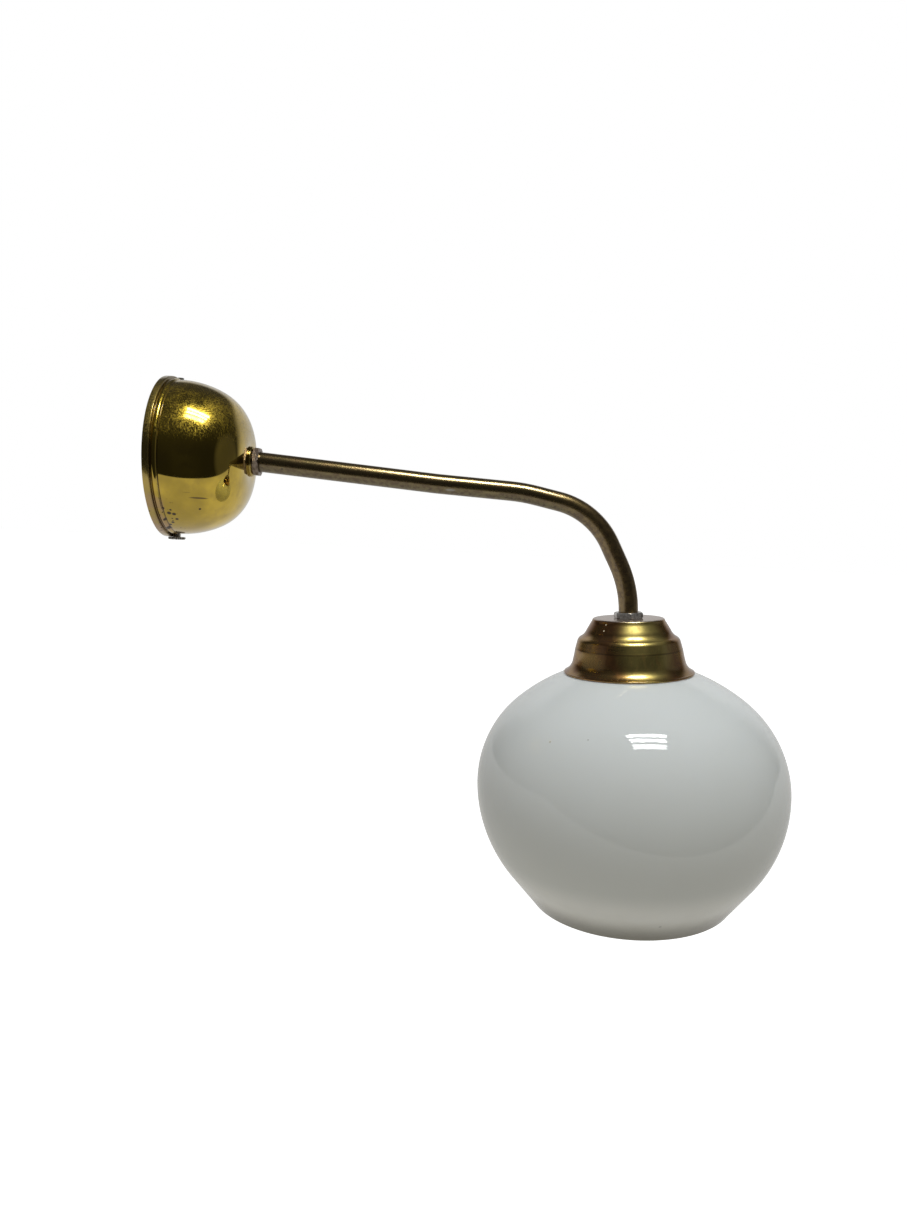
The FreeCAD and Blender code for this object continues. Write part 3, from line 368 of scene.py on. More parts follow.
cap_finish = Finish("aged_lacquered_brass", "cap_brass", along_arm, Metallic=1.0,
                    Coat_Weight=0.8, Coat_Roughness=0.07)
spot = cap_finish.place
outward = spot.axis("Z")
downward = spot.axis("X")
clouds = spot.noise(0.05, 3.0)
haze = spot.noise(0.18, 4.0, offset=(4, 9, 2)).rise(0.45, 0.7)
rubbed_highlight_zone = spot.noise(0.10, 2.0, offset=(6, 1, 2)).rise(0.25, 0.65) * 0.6 + 0.4
rubbed_highlight_zone = (1 - downward.rise(-14, -2)) * rubbed_highlight_zone
hairlines = spot.scratches(3, 0.03) * (rubbed_highlight_zone * 0.95 + 0.03)
fine_hairlines = spot.scratches(11, 0.045) * (rubbed_highlight_zone * 0.95 + 0.03)
low_zone = downward.rise(18, 30) * (1 - outward.rise(9, 16))
pits = spot.spots(0.42, 0.22, offset=(2, 5, 1)) * low_zone
for place, size in (
        ((28.1, -26.1, 8.9), 1.3), ((28.5, -25.5, 11.1), 1.2), ((31.1, -22.5, 5.8), 1.3),
        ((35.0, -15.9, 5.7), 2.0), ((30.8, -22.5, 11.6), 1.0), ((25.9, -28.4, 6.7), 0.9),
        ((25.4, -24.5, 23.1), 0.8), ((32.6, -20.4, 9.0), 1.0), ((33.6, -18.6, 7.2), 1.1),
        ((26.6, -27.6, 10.0), 0.7)):
    pits = pits + spot.mark(place, size)
pits = pits.at_most(1)
cut = spot.mark((20.3, -28.7, 23.6), 5.4, stretch=(10, 1, 1))
cut = cut + spot.mark((18.0, -31.2, 18.5), 2.6, stretch=(9, 1, 1)) * 0.4
groove = (1 - abs(outward - 3.3).rise(0.15, 0.55)) + (1 - abs(outward - 6.45).rise(0.15, 0.5))
flange = 1 - outward.rise(2.9, 3.3)
tarnish = (1 - outward.rise(6.5, 8)) * downward.rise(6, 30)
tarnish = tarnish * spot.noise(0.16, 3.0, offset=(5, 5, 5)).rise(0.40, 0.62)
stain = downward.rise(33.5, 36.5) * spot.noise(0.14, 3.0, offset=(8, 3, 4)).rise(0.3, 0.6)
metal = clouds.rise(0.35, 0.65).between((0.73, 0.515, 0.06, 1), (0.45, 0.315, 0.035, 1))
metal = (haze * 0.5).between(metal, (0.45, 0.31, 0.05, 1))
metal = (stain * 0.5).between(metal, (0.40, 0.25, 0.08, 1))
metal = (flange * 0.5).between(metal, (0.38, 0.30, 0.13, 1))
metal = (tarnish * 0.6).between(metal, (0.42, 0.26, 0.19, 1))
metal = (groove * 0.75).between(metal, (0.10, 0.06, 0.02, 1))
metal = cut.between(metal, (0.16, 0.10, 0.02, 1))
metal = pits.between(metal, (0.05, 0.025, 0.01, 1))
rough = hairlines * 0.24 + fine_hairlines * 0.18 + haze * 0.03 + rubbed_highlight_zone * 0.02 + 0.03
rough = rough + flange * 0.16 + groove * 0.2 + pits * 0.4 + stain * 0.1
cap_finish.vary(Base_Color=metal, Roughness=rough.at_most(0.6))
cap_finish.relief(spot.noise(0.05, 1.0, offset=(3, 1, 6)) * 0.5 - pits * 0.3 - hairlines * 0.01, 0.10)
dress(cap, cap_finish, "fixture", "wall_cap")


# Fixing screw
# A small steel thumb screw under the rim. Its edge is knurled, its face is slotted, and it
# has rusted a little where the plating has gone.

shank_radius = 1.9
head_radius = 4.2
head_foot = 40.1
head_face = 41.4
knurls = 26
knurl_depth = 0.28
driver_slot = (0.9, 10, 1.4)


def knurled(radius, height, angle):
    """Press the grooves of the knurl into the side of the head."""
    if radius > 3.6 and head_foot + 0.05 < height < head_face - 0.15:
        return radius - knurl_depth * abs(math.sin(angle * knurls / 2)), height
    return radius, height


screw_outline = eased([
    (0, 34.6), (1.4, 34.6), (shank_radius, 35.1), (shank_radius, head_foot),
    (3.9, head_foot), (head_radius, 40.25), (head_radius, 40.7), (head_radius, 41.15),
    (3.8, head_face), (0, head_face)], 0.08)
screw_place = Matrix.Translation((fixing_out, 0, 0)) @ Matrix.Rotation(math.pi, 4, "Y")
screw = spun("thumb_screw", screw_outline, screw_place, turns=156, shaped=knurled)
slot = bmesh.new()
bmesh.ops.create_cube(slot, size=1)
bmesh.ops.scale(slot, vec=driver_slot, verts=slot.verts)
cut_away(screw, slot, Matrix.Translation((fixing_out, 0, -head_face / 1000)))
screw_finish = Finish("dull_plated_steel", "screw_steel", Metallic=1.0)
spot = screw_finish.place
rust = spot.noise(0.9, 4.0).rise(0.55, 0.7)
screw_finish.vary(
    Base_Color=(rust * 0.8).between((0.66, 0.65, 0.62, 1), (0.16, 0.10, 0.06, 1)),
    Roughness=rust * 0.35 + spot.noise(3.0, 2.0) * 0.15 + 0.25)
dress(screw, screw_finish, "fixture", "cap_fixing_screw")


# Wall strap and wiring terminals
# Hidden behind the cap: a bent zinc-plated strap with slots for the wall screws, a plastic
# terminal block with brass barrels, and an earth screw with its crimped tag.

strap_finish = Finish("zinc_plated_steel", "steel", Metallic=1.0)
spot = strap_finish.place
brushed = spot.noise(1.0, 3.0, stretch=(1, 6, 0.25))
dull = spot.noise(0.12, 4.0, offset=(2, 2, 7)).rise(0.5, 0.72)
zinc = (dull * 0.6).between((0.60, 0.60, 0.58, 1), (0.36, 0.35, 0.33, 1))
zinc = (brushed * 0.25).between(zinc, (0.75, 0.75, 0.74, 1))
strap_finish.vary(Base_Color=zinc, Roughness=brushed * 0.2 + dull * 0.15 + 0.22)
strap_finish.relief(brushed, 0.02)
dress_node(strap_finish, "wall_plate", "arm_inner_washer")

block_finish = Finish("cream_moulded_plastic", "block_plastic", Coat_Weight=0.2)
spot = block_finish.place
dust = spot.noise(0.25, 4.0)
block_finish.vary(Base_Color=dust.between((0.80, 0.77, 0.68, 1), (0.66, 0.62, 0.52, 1)),
                  Roughness=dust * 0.2 + 0.3)
block_finish.relief(spot.noise(3.0, 2.0), 0.02)
dress_node(block_finish, "terminal_housing")

bright_finish = Finish("satin_brass", "bright_brass", Metallic=1.0)
spot = bright_finish.place
stain = spot.noise(0.3, 4.0)
bright_finish.vary(
    Base_Color=stain.rise(0.4, 0.7).between((0.74, 0.56, 0.22, 1), (0.50, 0.34, 0.12, 1)),
    Roughness=stain * 0.2 + 0.2)
bright_finish.relief(spot.noise(2.0, 2.0), 0.01)
dress_node(bright_finish, "terminal_inserts", "earth_screw", "earth_tag", "holder_cap",
           "holder_centre_contact")
dress_node(screw_finish, "terminal_screws", "terminal_mount_screw", "holder_terminal_screws")


# Arm
# A drawn brass tube, bent by hand over a former, which left a slight wave half way along. Its
# lacquer is worn off, so it has gone brown and olive. Its downward-facing side is painted
# dark as painted shade.

arm_bends = [
    ((30, 0), None), ((47, 0), 60), ((136, -6.1), 200), ((180.5, -8.1), 90), ((217.5, -15.5), 40),
]
lean = math.radians(4.2)
down = Vector((math.sin(lean), 0, -math.cos(lean)))
gallery_top = Vector((238.75, 0, -69.7))
upper_end = gallery_top - down * 16.5
lower_end = gallery_top + down * 8
arm_bends += [((upper_end.x, upper_end.z), 58), ((lower_end.x, lower_end.z), None)]


def arm_line():
    """Points with directions along the arm's straight runs and bends."""
    line = []
    corners = [Vector(corner) for corner, _ in arm_bends]
    for index, (corner, (_, bend)) in enumerate(zip(corners, arm_bends)):
        if bend is None:
            run = min(index, len(corners) - 2)
            line.append((corner, (corners[run + 1] - corners[run]).normalized()))
            continue
        back = (corners[index - 1] - corner).normalized()
        ahead = (corners[index + 1] - corner).normalized()
        half = back.angle(ahead) / 2
        start = corner + back * (bend / math.tan(half))
        end = corner + ahead * (bend / math.tan(half))
        centre = corner + (back + ahead).normalized() * (bend / math.sin(half))
        steps = max(4, int(math.degrees(math.pi - 2 * half) / 2))
        chord, inward = end - start, centre - start
        side = 1 if chord.x * inward.y > chord.y * inward.x else -1
        points = [tuple(start)] + arc(start, end, bend, side, steps)
        for step, point in enumerate(points):
            outward_way = (Vector(point) - centre).normalized()
            line.append((Vector(point), Vector((-outward_way.y, outward_way.x)) * side))
    return line


def swept(name, line, outer_radius, inner_radius, sides=64):
    """Tube along a line in the plane of the arm, closed from its outer to its inner skin."""
    vertices = []
    for radius, points in ((outer_radius, line), (inner_radius, line[::-1])):
        for point, direction in points:
            for side in range(sides):
                angle = 2 * math.pi * side / sides
                upright = radius * math.cos(angle)
                vertices.append((point.x - direction.y * upright, radius * math.sin(angle),
                                 point.y + direction.x * upright))
    rings = 2 * len(line)
    faces = []
    for ring in range(rings):
        following = (ring + 1) % rings
        for side in range(sides):
            ahead = (side + 1) % sides
            faces.append((ring * sides + side, ring * sides + ahead,
                          following * sides + ahead, following * sides + side))
    return mesh_piece(name, vertices, faces, crease=40)


tube_radius = 5.0
tube_bore = 4.0
ring_spacing = 6
bend_line = arm_line()
filled_line = []
for (point, direction), (further, next_direction) in zip(bend_line, bend_line[1:]):
    pieces = max(1, int((further - point).length / ring_spacing))
    for step in range(pieces):
        share = step / pieces
        way = direction.lerp(next_direction, share).normalized()
        filled_line.append((point.lerp(further, share), way))
filled_line.append(bend_line[-1])
arm = swept("arm_tube_skin", filled_line, tube_radius, tube_bore)

arm_finish = Finish("patinated_brass", "arm_brass", Metallic=1.0,
                    Coat_Weight=0.6, Coat_Roughness=0.16, Coat_IOR=1.8)
spot = arm_finish.place
underside = 1 - arm_finish.facing().axis("Z").rise(-0.75, 0.15)
patina = spot.noise(0.22, 5.0, stretch=(0.6, 1, 1)).rise(0.36, 0.66)
blotches = spot.noise(0.6, 3.0, offset=(3, 8, 1)).rise(0.45, 0.75)
specks = spot.spots(0.8, 0.2, offset=(1, 1, 1)) * spot.noise(0.2, 2.0).rise(0.5, 0.6)
specks = specks + spot.mark((57.9, -4.4, -3.1), 0.7) + spot.mark((59.6, -4.7, -1.6), 0.4)
scuff = spot.mark((143.0, -4.3, -9.1), 3.2, stretch=(1, 1, 4))
hairlines = spot.scratches(5, 0.03)
tone = patina.between((0.36, 0.265, 0.10, 1), (0.24, 0.155, 0.065, 1))
tone = (blotches * 0.6).between(tone, (0.20, 0.12, 0.05, 1))
tone = (hairlines * 0.2).between(tone, (0.60, 0.48, 0.18, 1))
mottle = spot.noise(0.45, 5.0, offset=(2, 4, 6)).rise(0.40, 0.62)
# Painted shade: the downward-facing side is painted dark and mottled.
painted_shade_below = mottle.between((0.15, 0.12, 0.055, 1), (0.075, 0.045, 0.025, 1))
tone = (underside * 0.85).between(tone, painted_shade_below)
# Darker, rougher brown towards the last bend.
last_bend = spot.axis("X").rise(185, 222)
tone = (last_bend * 0.65).between(tone, mottle.between((0.30, 0.20, 0.08, 1), (0.16, 0.10, 0.05, 1)))
tone = (scuff * 0.5).between(tone, (0.42, 0.41, 0.38, 1))
tone = (specks * 0.8).between(tone, (0.05, 0.035, 0.02, 1))
arm_finish.vary(Base_Color=tone,
                Roughness=patina * 0.05 + underside * 0.14 + last_bend * 0.12 + 0.22)
arm_finish.relief(spot.noise(0.10, 1.0, offset=(9, 2, 2)) - specks * 0.1, 0.03)
dress(arm, arm_finish, "fixture", "arm_tube")


# Ferrule and nuts
# A small cupped brass washer and plain hexagon nuts with turned chamfers hold the arm in the
# cap's crown and on top of the gallery. The nuts are the same nickel-plated steel; the one at
# the cap is painted darker as painted shade, and the one on the gallery lighter as painted
# light from above.

nut_height = 3.0
nut_half_flats = 6.75
nut_corner = 7.9
nut_chamfer = 6.9
nut_lead_in = 0.25


def hexagonal(radius, height, angle):
    """Move the outer points of a turned blank in to the flats of a hexagon."""
    flat = nut_half_flats / math.cos((angle + math.pi / 6) % (math.pi / 3) - math.pi / 6)
    return min(radius, flat), height


def hex_nut(name, place):
    """Nut whose chamfers are the cones left by turning its corners."""
    wide = nut_corner - nut_chamfer
    high = wide * math.tan(math.radians(30))
    shares = [step / 8 for step in range(9)]
    outline = [(tube_hole, nut_lead_in), (tube_hole + nut_lead_in, 0)]
    outline += [(nut_chamfer + wide * share, high * share) for share in shares]
    outline += [(nut_corner - wide * share, nut_height - high * (1 - share)) for share in shares]
    outline += [(tube_hole + nut_lead_in, nut_height), (tube_hole, nut_height - nut_lead_in)]
    return spun(name, outline, place, turns=144, shaped=hexagonal, crease=24)


def nut_steel(name, clean, worn, polish):
    """Nickel-plated steel, from clean to worn colour, with a given least roughness."""
    steel = Finish(name, "nut_steel", Metallic=1.0)
    wear = steel.place.noise(0.5, 2.0).rise(0.4, 0.7)
    grime = steel.place.noise(0.4, 3.0, offset=(6, 2, 2)).rise(0.5, 0.7)
    nickel = (grime * 0.6).between(wear.between(clean, worn), (0.12, 0.09, 0.06, 1))
    steel.vary(Base_Color=nickel, Roughness=wear * 0.08 + grime * 0.1 + polish)
    steel.relief(steel.place.noise(0.4, 1.0), 0.004)
    return steel


# One nickel steel in two copies: painted shade for the nut at the cap, painted light for the nut on the
# gallery.
dark_painted_nut_finish = nut_steel("nickel_steel_painted_dark", (0.27, 0.22, 0.18, 1), (0.16, 0.12, 0.10, 1), 0.30)
light_painted_nut_finish = nut_steel("nickel_steel_painted_light", (0.80, 0.79, 0.77, 1), (0.50, 0.49, 0.47, 1), 0.36)

ferrule_height = 1.8
ferrule_radius = 7.6
crown_place = Matrix.Translation((cap_depth / 1000, 0, 0)) @ along_arm
outer_nut_place = Matrix.Translation(((cap_depth + ferrule_height) / 1000, 0, 0)) @ along_arm
ferrule_outline = eased([
    (tube_hole, 0), (ferrule_radius, 0), (ferrule_radius, 0.75), (7.3, 1.15),
    (6.3, ferrule_height), (tube_hole, ferrule_height)], 0.15)
ferrule = spun("crown_ferrule", ferrule_outline, crown_place, turns=96)
ferrule_finish = Finish("dark_rimmed_brass", "cap_brass", crown_place, Metallic=1.0)
spot = ferrule_finish.place
level = spot.axis("Z")
ring_mark = (1 - abs(level - 0.1).rise(0.1, 0.4)) + level.rise(1.5, 1.8)
grain = spot.noise(1.2, 3.0)
ferrule_finish.vary(
    Base_Color=(ring_mark * 0.6 + grain * 0.2).between((0.46, 0.34, 0.10, 1), (0.13, 0.08, 0.03, 1)),
    Roughness=grain * 0.15 + 0.14)
dress(ferrule, ferrule_finish, "fixture", "cap_ferrule")
dress(hex_nut("outer_nut", outer_nut_place), dark_painted_nut_finish, "fixture", "arm_outer_nut")
dress_node(dark_painted_nut_finish, "arm_inner_nut")


# Wires and bush
# Three insulated wires run from the terminals through a black bush and the arm to the lamp
# holder: brown, blue, and green with a yellow stripe.

bush_finish = Finish("black_rubber_bush", "bush_plastic")
spot = bush_finish.place
bush_finish.vary(Base_Color=spot.noise(0.8, 3.0).between((0.02, 0.02, 0.02, 1), (0.06, 0.055, 0.05, 1)),
                 Roughness=spot.noise(1.5, 2.0) * 0.2 + 0.45)
dress_node(bush_finish, "entry_bush")
for name, slot, colour, faded in (
        ("live_wire", "live_insulation", (0.17, 0.06, 0.025, 1), (0.25, 0.12, 0.06, 1)),
        ("neutral_wire", "neutral_insulation", (0.03, 0.13, 0.45, 1), (0.08, 0.22, 0.52, 1)),
        ("earth_wire", "earth_insulation", (0.10, 0.36, 0.05, 1), (0.16, 0.42, 0.09, 1))):
    wire_finish = Finish(name + "_pvc", slot)
    spot = wire_finish.place
    pvc = spot.noise(0.5, 3.0).between(colour, faded)
    if name == "earth_wire":
        pvc = spot.axis("Y").rise(0.25, 0.35).between(pvc, (0.85, 0.72, 0.06, 1))
    wire_finish.vary(Base_Color=pvc, Roughness=spot.noise(1.0, 2.0) * 0.15 + 0.32)
    wire_finish.relief(spot.noise(0.6, 1.0), 0.03)
    dress_node(wire_finish, name)


# Gallery
# A cover spun from sheet brass: flat top, coved neck, a shoulder with two steps and a flared,
# rolled lip. Turning lines show all round it, and it has aged redder than the cap. Its colour
# also carries a painted highlight, painted shade in its crease and hollows, and a painted
# reflection on the top plate.

on_lamp = Matrix.Translation(gallery_top / 1000) @ Matrix.Rotation(math.pi - lean, 4, "Y")
sheet = 0.7
neck_top, neck_foot = (18.5, 1), (21.6, 6.2)
cove_end = (24.3, 9.4)
shoulder_end = (26.4, 12)
flare_start = (28.9, 22.6)
lip_radius = 33.4
lip_middle = 28.0
lip_roll = 0.5
lip_above = (lip_radius - lip_roll, lip_middle - lip_roll)
lip_edge = (lip_radius, lip_middle)
lip_below = (lip_radius - lip_roll, lip_middle + lip_roll)
inner_flare = (28.2, 22.6)
inner_shoulder_end, inner_cove_end = (25.7, 12.7), (23.6, 10.1)
gallery_outline = [(tube_hole, 0), (12, 0), (17.5, 0)] + arc((17.5, 0), neck_top, 1, 1, 8)
gallery_outline += [(19.3, 2.35), (20.1, 3.69), (20.85, 4.94), neck_foot]
gallery_outline += arc(neck_foot, cove_end, 7, -1, 10) + arc(cove_end, shoulder_end, 3.5, 1, 12)
gallery_outline += [(26.7, 13.0), (27.05, 14.3), (27.3, 15.3), (27.42, 15.6), (27.5, 15.95)]
gallery_outline += [(27.8, 17.6), (28.3, 20.0), flare_start]
gallery_outline += arc(flare_start, lip_above, 8, -1, 14)
gallery_outline += arc(lip_above, lip_edge, lip_roll, 1, 5) + arc(lip_edge, lip_below, lip_roll, 1, 5)
gallery_outline += arc(lip_below, inner_flare, 8 + sheet, 1, 14)
gallery_outline += [(26.7, 15.6), inner_shoulder_end]
gallery_outline += arc(inner_shoulder_end, inner_cove_end, 5, -1, 5)
gallery_outline += arc(inner_cove_end, (20.9, 6.55), 7 + sheet, 1, 8)
gallery_outline += [(17.8, 1.3), (17.3, sheet), (tube_hole, sheet)]
gallery = spun("gallery_shell", gallery_outline, on_lamp, turns=224, crease=40)

gallery_finish = Finish("spun_bronzed_brass", "gallery_brass", on_lamp, Metallic=1.0,
                         Specular_Tint=(0.45, 0.36, 0.30, 1), Coat_Weight=0.8,
                         Coat_Roughness=0.12, Coat_IOR=1.8)
spot = gallery_finish.place
depth = spot.axis("Z")
lathe_lines = spot.noise(1.0, 3.0, stretch=(0.02, 0.02, 3.2))
patches = spot.noise(0.10, 4.0, offset=(1, 7, 3)).rise(0.38, 0.64)
streaks = spot.noise(0.45, 4.0, stretch=(1, 1, 0.35), offset=(3, 3, 9)).rise(0.5, 0.75)
# Painted shade: the crease, the coved neck and the skirt above the lip are painted darker.
crease = 1 - abs(depth - 15.6).rise(0.1, 0.5)
hollow_shade = (1 - abs(depth - 7.0).rise(0.4, 2.2)) * 0.4
hollow_shade = hollow_shade + depth.rise(20, 26) * (1 - depth.rise(27.3, 28.2)) * 0.3
# Painted highlight: a pale yellow patch painted where the ceiling light's highlight falls; it is a little
# rougher too.
rubbed_highlight_zone = spot.mark((-3, -24, 12), 17, stretch=(1, 1, 0.5))
bronze = patches.between((0.50, 0.31, 0.09, 1), (0.36, 0.17, 0.055, 1))
bronze = (rubbed_highlight_zone * 0.85).between(bronze, (0.80, 0.66, 0.20, 1))
bronze = (streaks * 0.5).between(bronze, (0.32, 0.16, 0.05, 1))
bronze = ((crease + hollow_shade) * 0.6).between(bronze, (0.18, 0.10, 0.03, 1))
# Painted reflection: the top plate is painted pale pinkish grey for the wall that it mirrors.
top_plate = 1 - depth.rise(0.05, 0.6)
bronze = (top_plate * 0.85).between(bronze, (0.80, 0.72, 0.66, 1))
# Two small pale, matt dots at the top of the neck.
flecks = spot.mark((14.1, -12.8, 1.9), 0.45) + spot.mark((15.4, -14.0, 4.8), 0.45)
bronze = flecks.between(bronze, (0.95, 0.85, 0.60, 1))
rough = streaks * 0.1 + patches * 0.06 + lathe_lines * 0.12 + top_plate * 0.06 + rubbed_highlight_zone * 0.07 + 0.18
gallery_finish.vary(Base_Color=bronze, Metallic=1 - flecks, Roughness=rough)
gallery_finish.relief(lathe_lines * 0.2 + spot.noise(0.08, 1.0, offset=(5, 1, 1)), 0.03)
dress(gallery, gallery_finish, "fixture", "gallery")
gallery_nut_place = on_lamp @ Matrix.Translation((0, 0, -nut_height / 1000))
dress(hex_nut("gallery_top_nut", gallery_nut_place), light_painted_nut_finish, "fixture", "gallery_nut")


# Lamp holder
# A brass holder for a screw-cap bulb: a bell on the arm's thread, a porcelain insert with the
# contacts and the rolled screw shell, and a sleeve threaded outside for the shade ring.

def screw_thread(pitch, depth_of_thread, start, end, fade=1.5, sharpness=1.0):
    """Right-handed thread about the piece's own Z, fading out at both ends."""
    def shaped(radius, height, angle):
        share = min(max((height - start) / fade, 0), max((end - height) / fade, 0), 1)
        wave = math.cos(2 * math.pi * height / pitch - angle)
        wave = math.copysign(abs(wave) ** sharpness, wave)
        return radius + depth_of_thread * 0.5 * (wave - 1) * share, height
    return shaped


def along(start, end, step):
    """Points along a straight side, close enough to carry a thread."""
    start, end = Vector(start), Vector(end)
    count = max(1, round((end - start).length / step))
    return [tuple(start.lerp(end, index / count)) for index in range(count + 1)]


porcelain_finish = Finish("glazed_porcelain", "porcelain", Coat_Weight=0.5)
spot = porcelain_finish.place
grey = spot.noise(0.3, 3.0)
porcelain_finish.vary(Base_Color=grey.between((0.84, 0.82, 0.76, 1), (0.74, 0.71, 0.63, 1)),
                      Roughness=grey * 0.1 + 0.12)
dress_node(porcelain_finish, "holder_insert")

sleeve_radius = 19.3
sleeve_bore = 17.5
outer_thread = screw_thread(2.0, 0.9, 37.6, 55.6, fade=1.0, sharpness=0.7)


def sleeve_shape(radius, height, angle):
    """Thread the sleeve's outer skin and leave its bore plain."""
    return outer_thread(radius, height, angle) if radius > 19.2 else (radius, height)


sleeve_outline = [(sleeve_bore, 15.0), (sleeve_radius, 15.0)]
sleeve_outline += along((sleeve_radius, 16), (sleeve_radius, 36), 5)
sleeve_outline += along((sleeve_radius, 37.4), (sleeve_radius, 55.6), 0.22)
sleeve_outline += [(19.1, 56), (17.7, 56), (sleeve_bore, 55.8), (sleeve_bore, 25.5)]
sleeve_outline += [(16, 25.5), (16, 24), (sleeve_bore, 24)]
sleeve = spun("threaded_sleeve", sleeve_outline, on_lamp, turns=96, shaped=sleeve_shape, crease=40)
dress(sleeve, bright_finish, "fixture", "holder_sleeve")

edison_pitch = 3.629
shell_thread = screw_thread(edison_pitch, 0.95, 33.0, 53.4)
thread_step = 0.3
shell_radius = 13.85
shell_bore = 13.4
shell_start, shell_end = 31.5, 54
shell_outline = [(9, 30), (13.2, 30), (13.75, 30.5)]
shell_outline += along((shell_radius, shell_start), (shell_radius, shell_end), thread_step)
shell_outline += along((shell_bore, shell_end), (shell_bore, shell_start), thread_step)
shell_outline += [(13.1, 30.7), (12.9, 30.5), (9, 30.5)]
shell = spun("rolled_screw_shell", shell_outline, on_lamp, turns=96, shaped=shell_thread, crease=50)
dress(shell, bright_finish, "fixture", "holder_screw_shell")


# Shade ring
# A turned brass ring on the sleeve's thread. Its dished flange presses the glass up against
# the gallery, and its hub is fluted for the fingers.

flutes = 30
flute_depth = 0.45
hub_radius = 22.2
dish_radius = 27.4
ring_bore = 19.6
ring_end = 37


def fluted(radius, height, angle):
    """Press the flutes into the hub and leave the flange round."""
    if 21.5 < radius < 23 and height > 33.5:
        return radius - flute_depth * (0.5 + 0.5 * math.cos(angle * flutes)), height
    return radius, height


ring_outline = [(ring_bore, 28.76)]
ring_outline += arc((ring_bore, 28.76), (dish_radius, 30.89), 89.2, 1, 6)
ring_outline += eased([(dish_radius, 31.6), (dish_radius, 32.89), (22.6, 32.89), (hub_radius, 33.5)], 0.2)
ring_outline += along((hub_radius, 33.9), (hub_radius, 36.6), 0.5)
ring_outline += [(21.9, ring_end), (ring_bore, ring_end)]
ring = spun("shade_clamp_ring", ring_outline, on_lamp, turns=240, shaped=fluted, crease=30)
dress(ring, bright_finish, "fixture", "shade_ring")


# Glass
# A squat ball of blown opal glass, open below, with a fire-polished rim. It is glossy and
# faintly greenish with a few seeds in its skin. Its colour carries painted light and shade:
# paler and cooler at the top, warmer lower down, a pale painted band of light above the rim,
# painted shade darkening it down to the rim, and an inner skin painted paler as if lit
# through the glass.

glass_wall = 3.6
ball_radius = 80
ball_middle = 87.8
top_rise = 65.2
rim_drop = 60.8
upper_arc = 56.8
lower_arc = 70.9
mouth_slope = math.radians(37.8)
neck_hole = 21
rim_round = 2.5
upper_centre = ball_radius - upper_arc
lower_centre = ball_radius - lower_arc
shoulder_step = top_rise - upper_arc
shoulder_sink = (upper_centre ** 2 - shoulder_step ** 2) / (2 * shoulder_step)
shoulder_arc = top_rise + shoulder_sink
rim_line = ball_middle + rim_drop - rim_round / 2


def skin(inset):
    """Hole, shoulder join, widest point, start of the mouth's taper and rim of one skin."""
    inner_shoulder = shoulder_arc - inset
    hole = (neck_hole, ball_middle + shoulder_sink - math.sqrt(inner_shoulder ** 2 - neck_hole ** 2))
    share = (upper_arc - inset) / (shoulder_arc - upper_arc)
    join = (upper_centre * (1 + share), ball_middle - shoulder_sink * share)
    widest = (ball_radius - inset, ball_middle)
    taper = (lower_centre + (lower_arc - inset) * math.cos(mouth_slope),
             ball_middle + (lower_arc - inset) * math.sin(mouth_slope))
    rim = (taper[0] - (rim_line - taper[1]) * math.tan(mouth_slope), rim_line)
    return hole, join, widest, taper, rim


hole_out, join_out, widest_out, taper_out, rim_out = skin(0)
hole_in, join_in, widest_in, taper_in, rim_in = skin(glass_wall)
glass_outline = [hole_out] + arc(hole_out, join_out, shoulder_arc, 1, 40)
glass_outline += arc(join_out, widest_out, upper_arc, 1, 40)
glass_outline += arc(widest_out, taper_out, lower_arc, 1, 36)
glass_outline += along(taper_out, rim_out, 1.5)[1:]
glass_outline += arc(rim_out, rim_in, rim_round, 1, 12)
glass_outline += along(rim_in, taper_in, 2)[1:]
glass_outline += arc(taper_in, widest_in, lower_arc - glass_wall, -1, 30)
glass_outline += arc(widest_in, join_in, upper_arc - glass_wall, -1, 30)
glass_outline += arc(join_in, hole_in, shoulder_arc - glass_wall, -1, 30)
glass = spun("opal_ball", glass_outline, on_lamp, turns=256, crease=40)

glass_finish = Finish("glossy_opal_glass", "opal_glass", on_lamp, IOR=1.5, Subsurface_Weight=0.3,
                      Subsurface_Scale=0.008)
glass_finish.shader.inputs["Subsurface Radius"].default_value = (1.0, 0.95, 0.85)
spot = glass_finish.place
depth = spot.axis("Z")
milk = spot.noise(0.02, 2.0)
seeds = spot.mark((47.3, -48.0, 52.1), 0.7) + spot.mark((31.0, -57.0, 49.2), 0.5)
seeds = seeds + spot.mark((-1.3, -60.4, 137.4), 0.9)
seeds = seeds + spot.spots(0.035, 0.018, offset=(3, 2, 5))
# Dusty, rougher patches towards the rim; their darker colour also adds to the painted shade there.
grime = depth.rise(118, 150) * spot.noise(0.05, 4.0, offset=(1, 5, 2)).rise(0.3, 0.75)
opal = milk.between((0.73, 0.755, 0.735, 1), (0.70, 0.72, 0.695, 1))
# Painted light down the ball: a paler, cooler top, a warmer lower half, and a pale painted band of light
# above the rim.
opal = depth.rise(30, 75).between((0.755, 0.79, 0.785, 1), opal)
opal = (depth.rise(60, 120) * 0.6).between(opal, (0.73, 0.73, 0.65, 1))
opal = (depth.rise(116, 130) * 0.8).between(opal, (0.93, 0.92, 0.84, 1))
opal = (grime * 0.25).between(opal, (0.42, 0.38, 0.28, 1))
# Painted shade: the last stretch down to the rim is painted dark.
opal = (depth.rise(132, 147) * 0.85).between(opal, (0.17, 0.155, 0.11, 1))
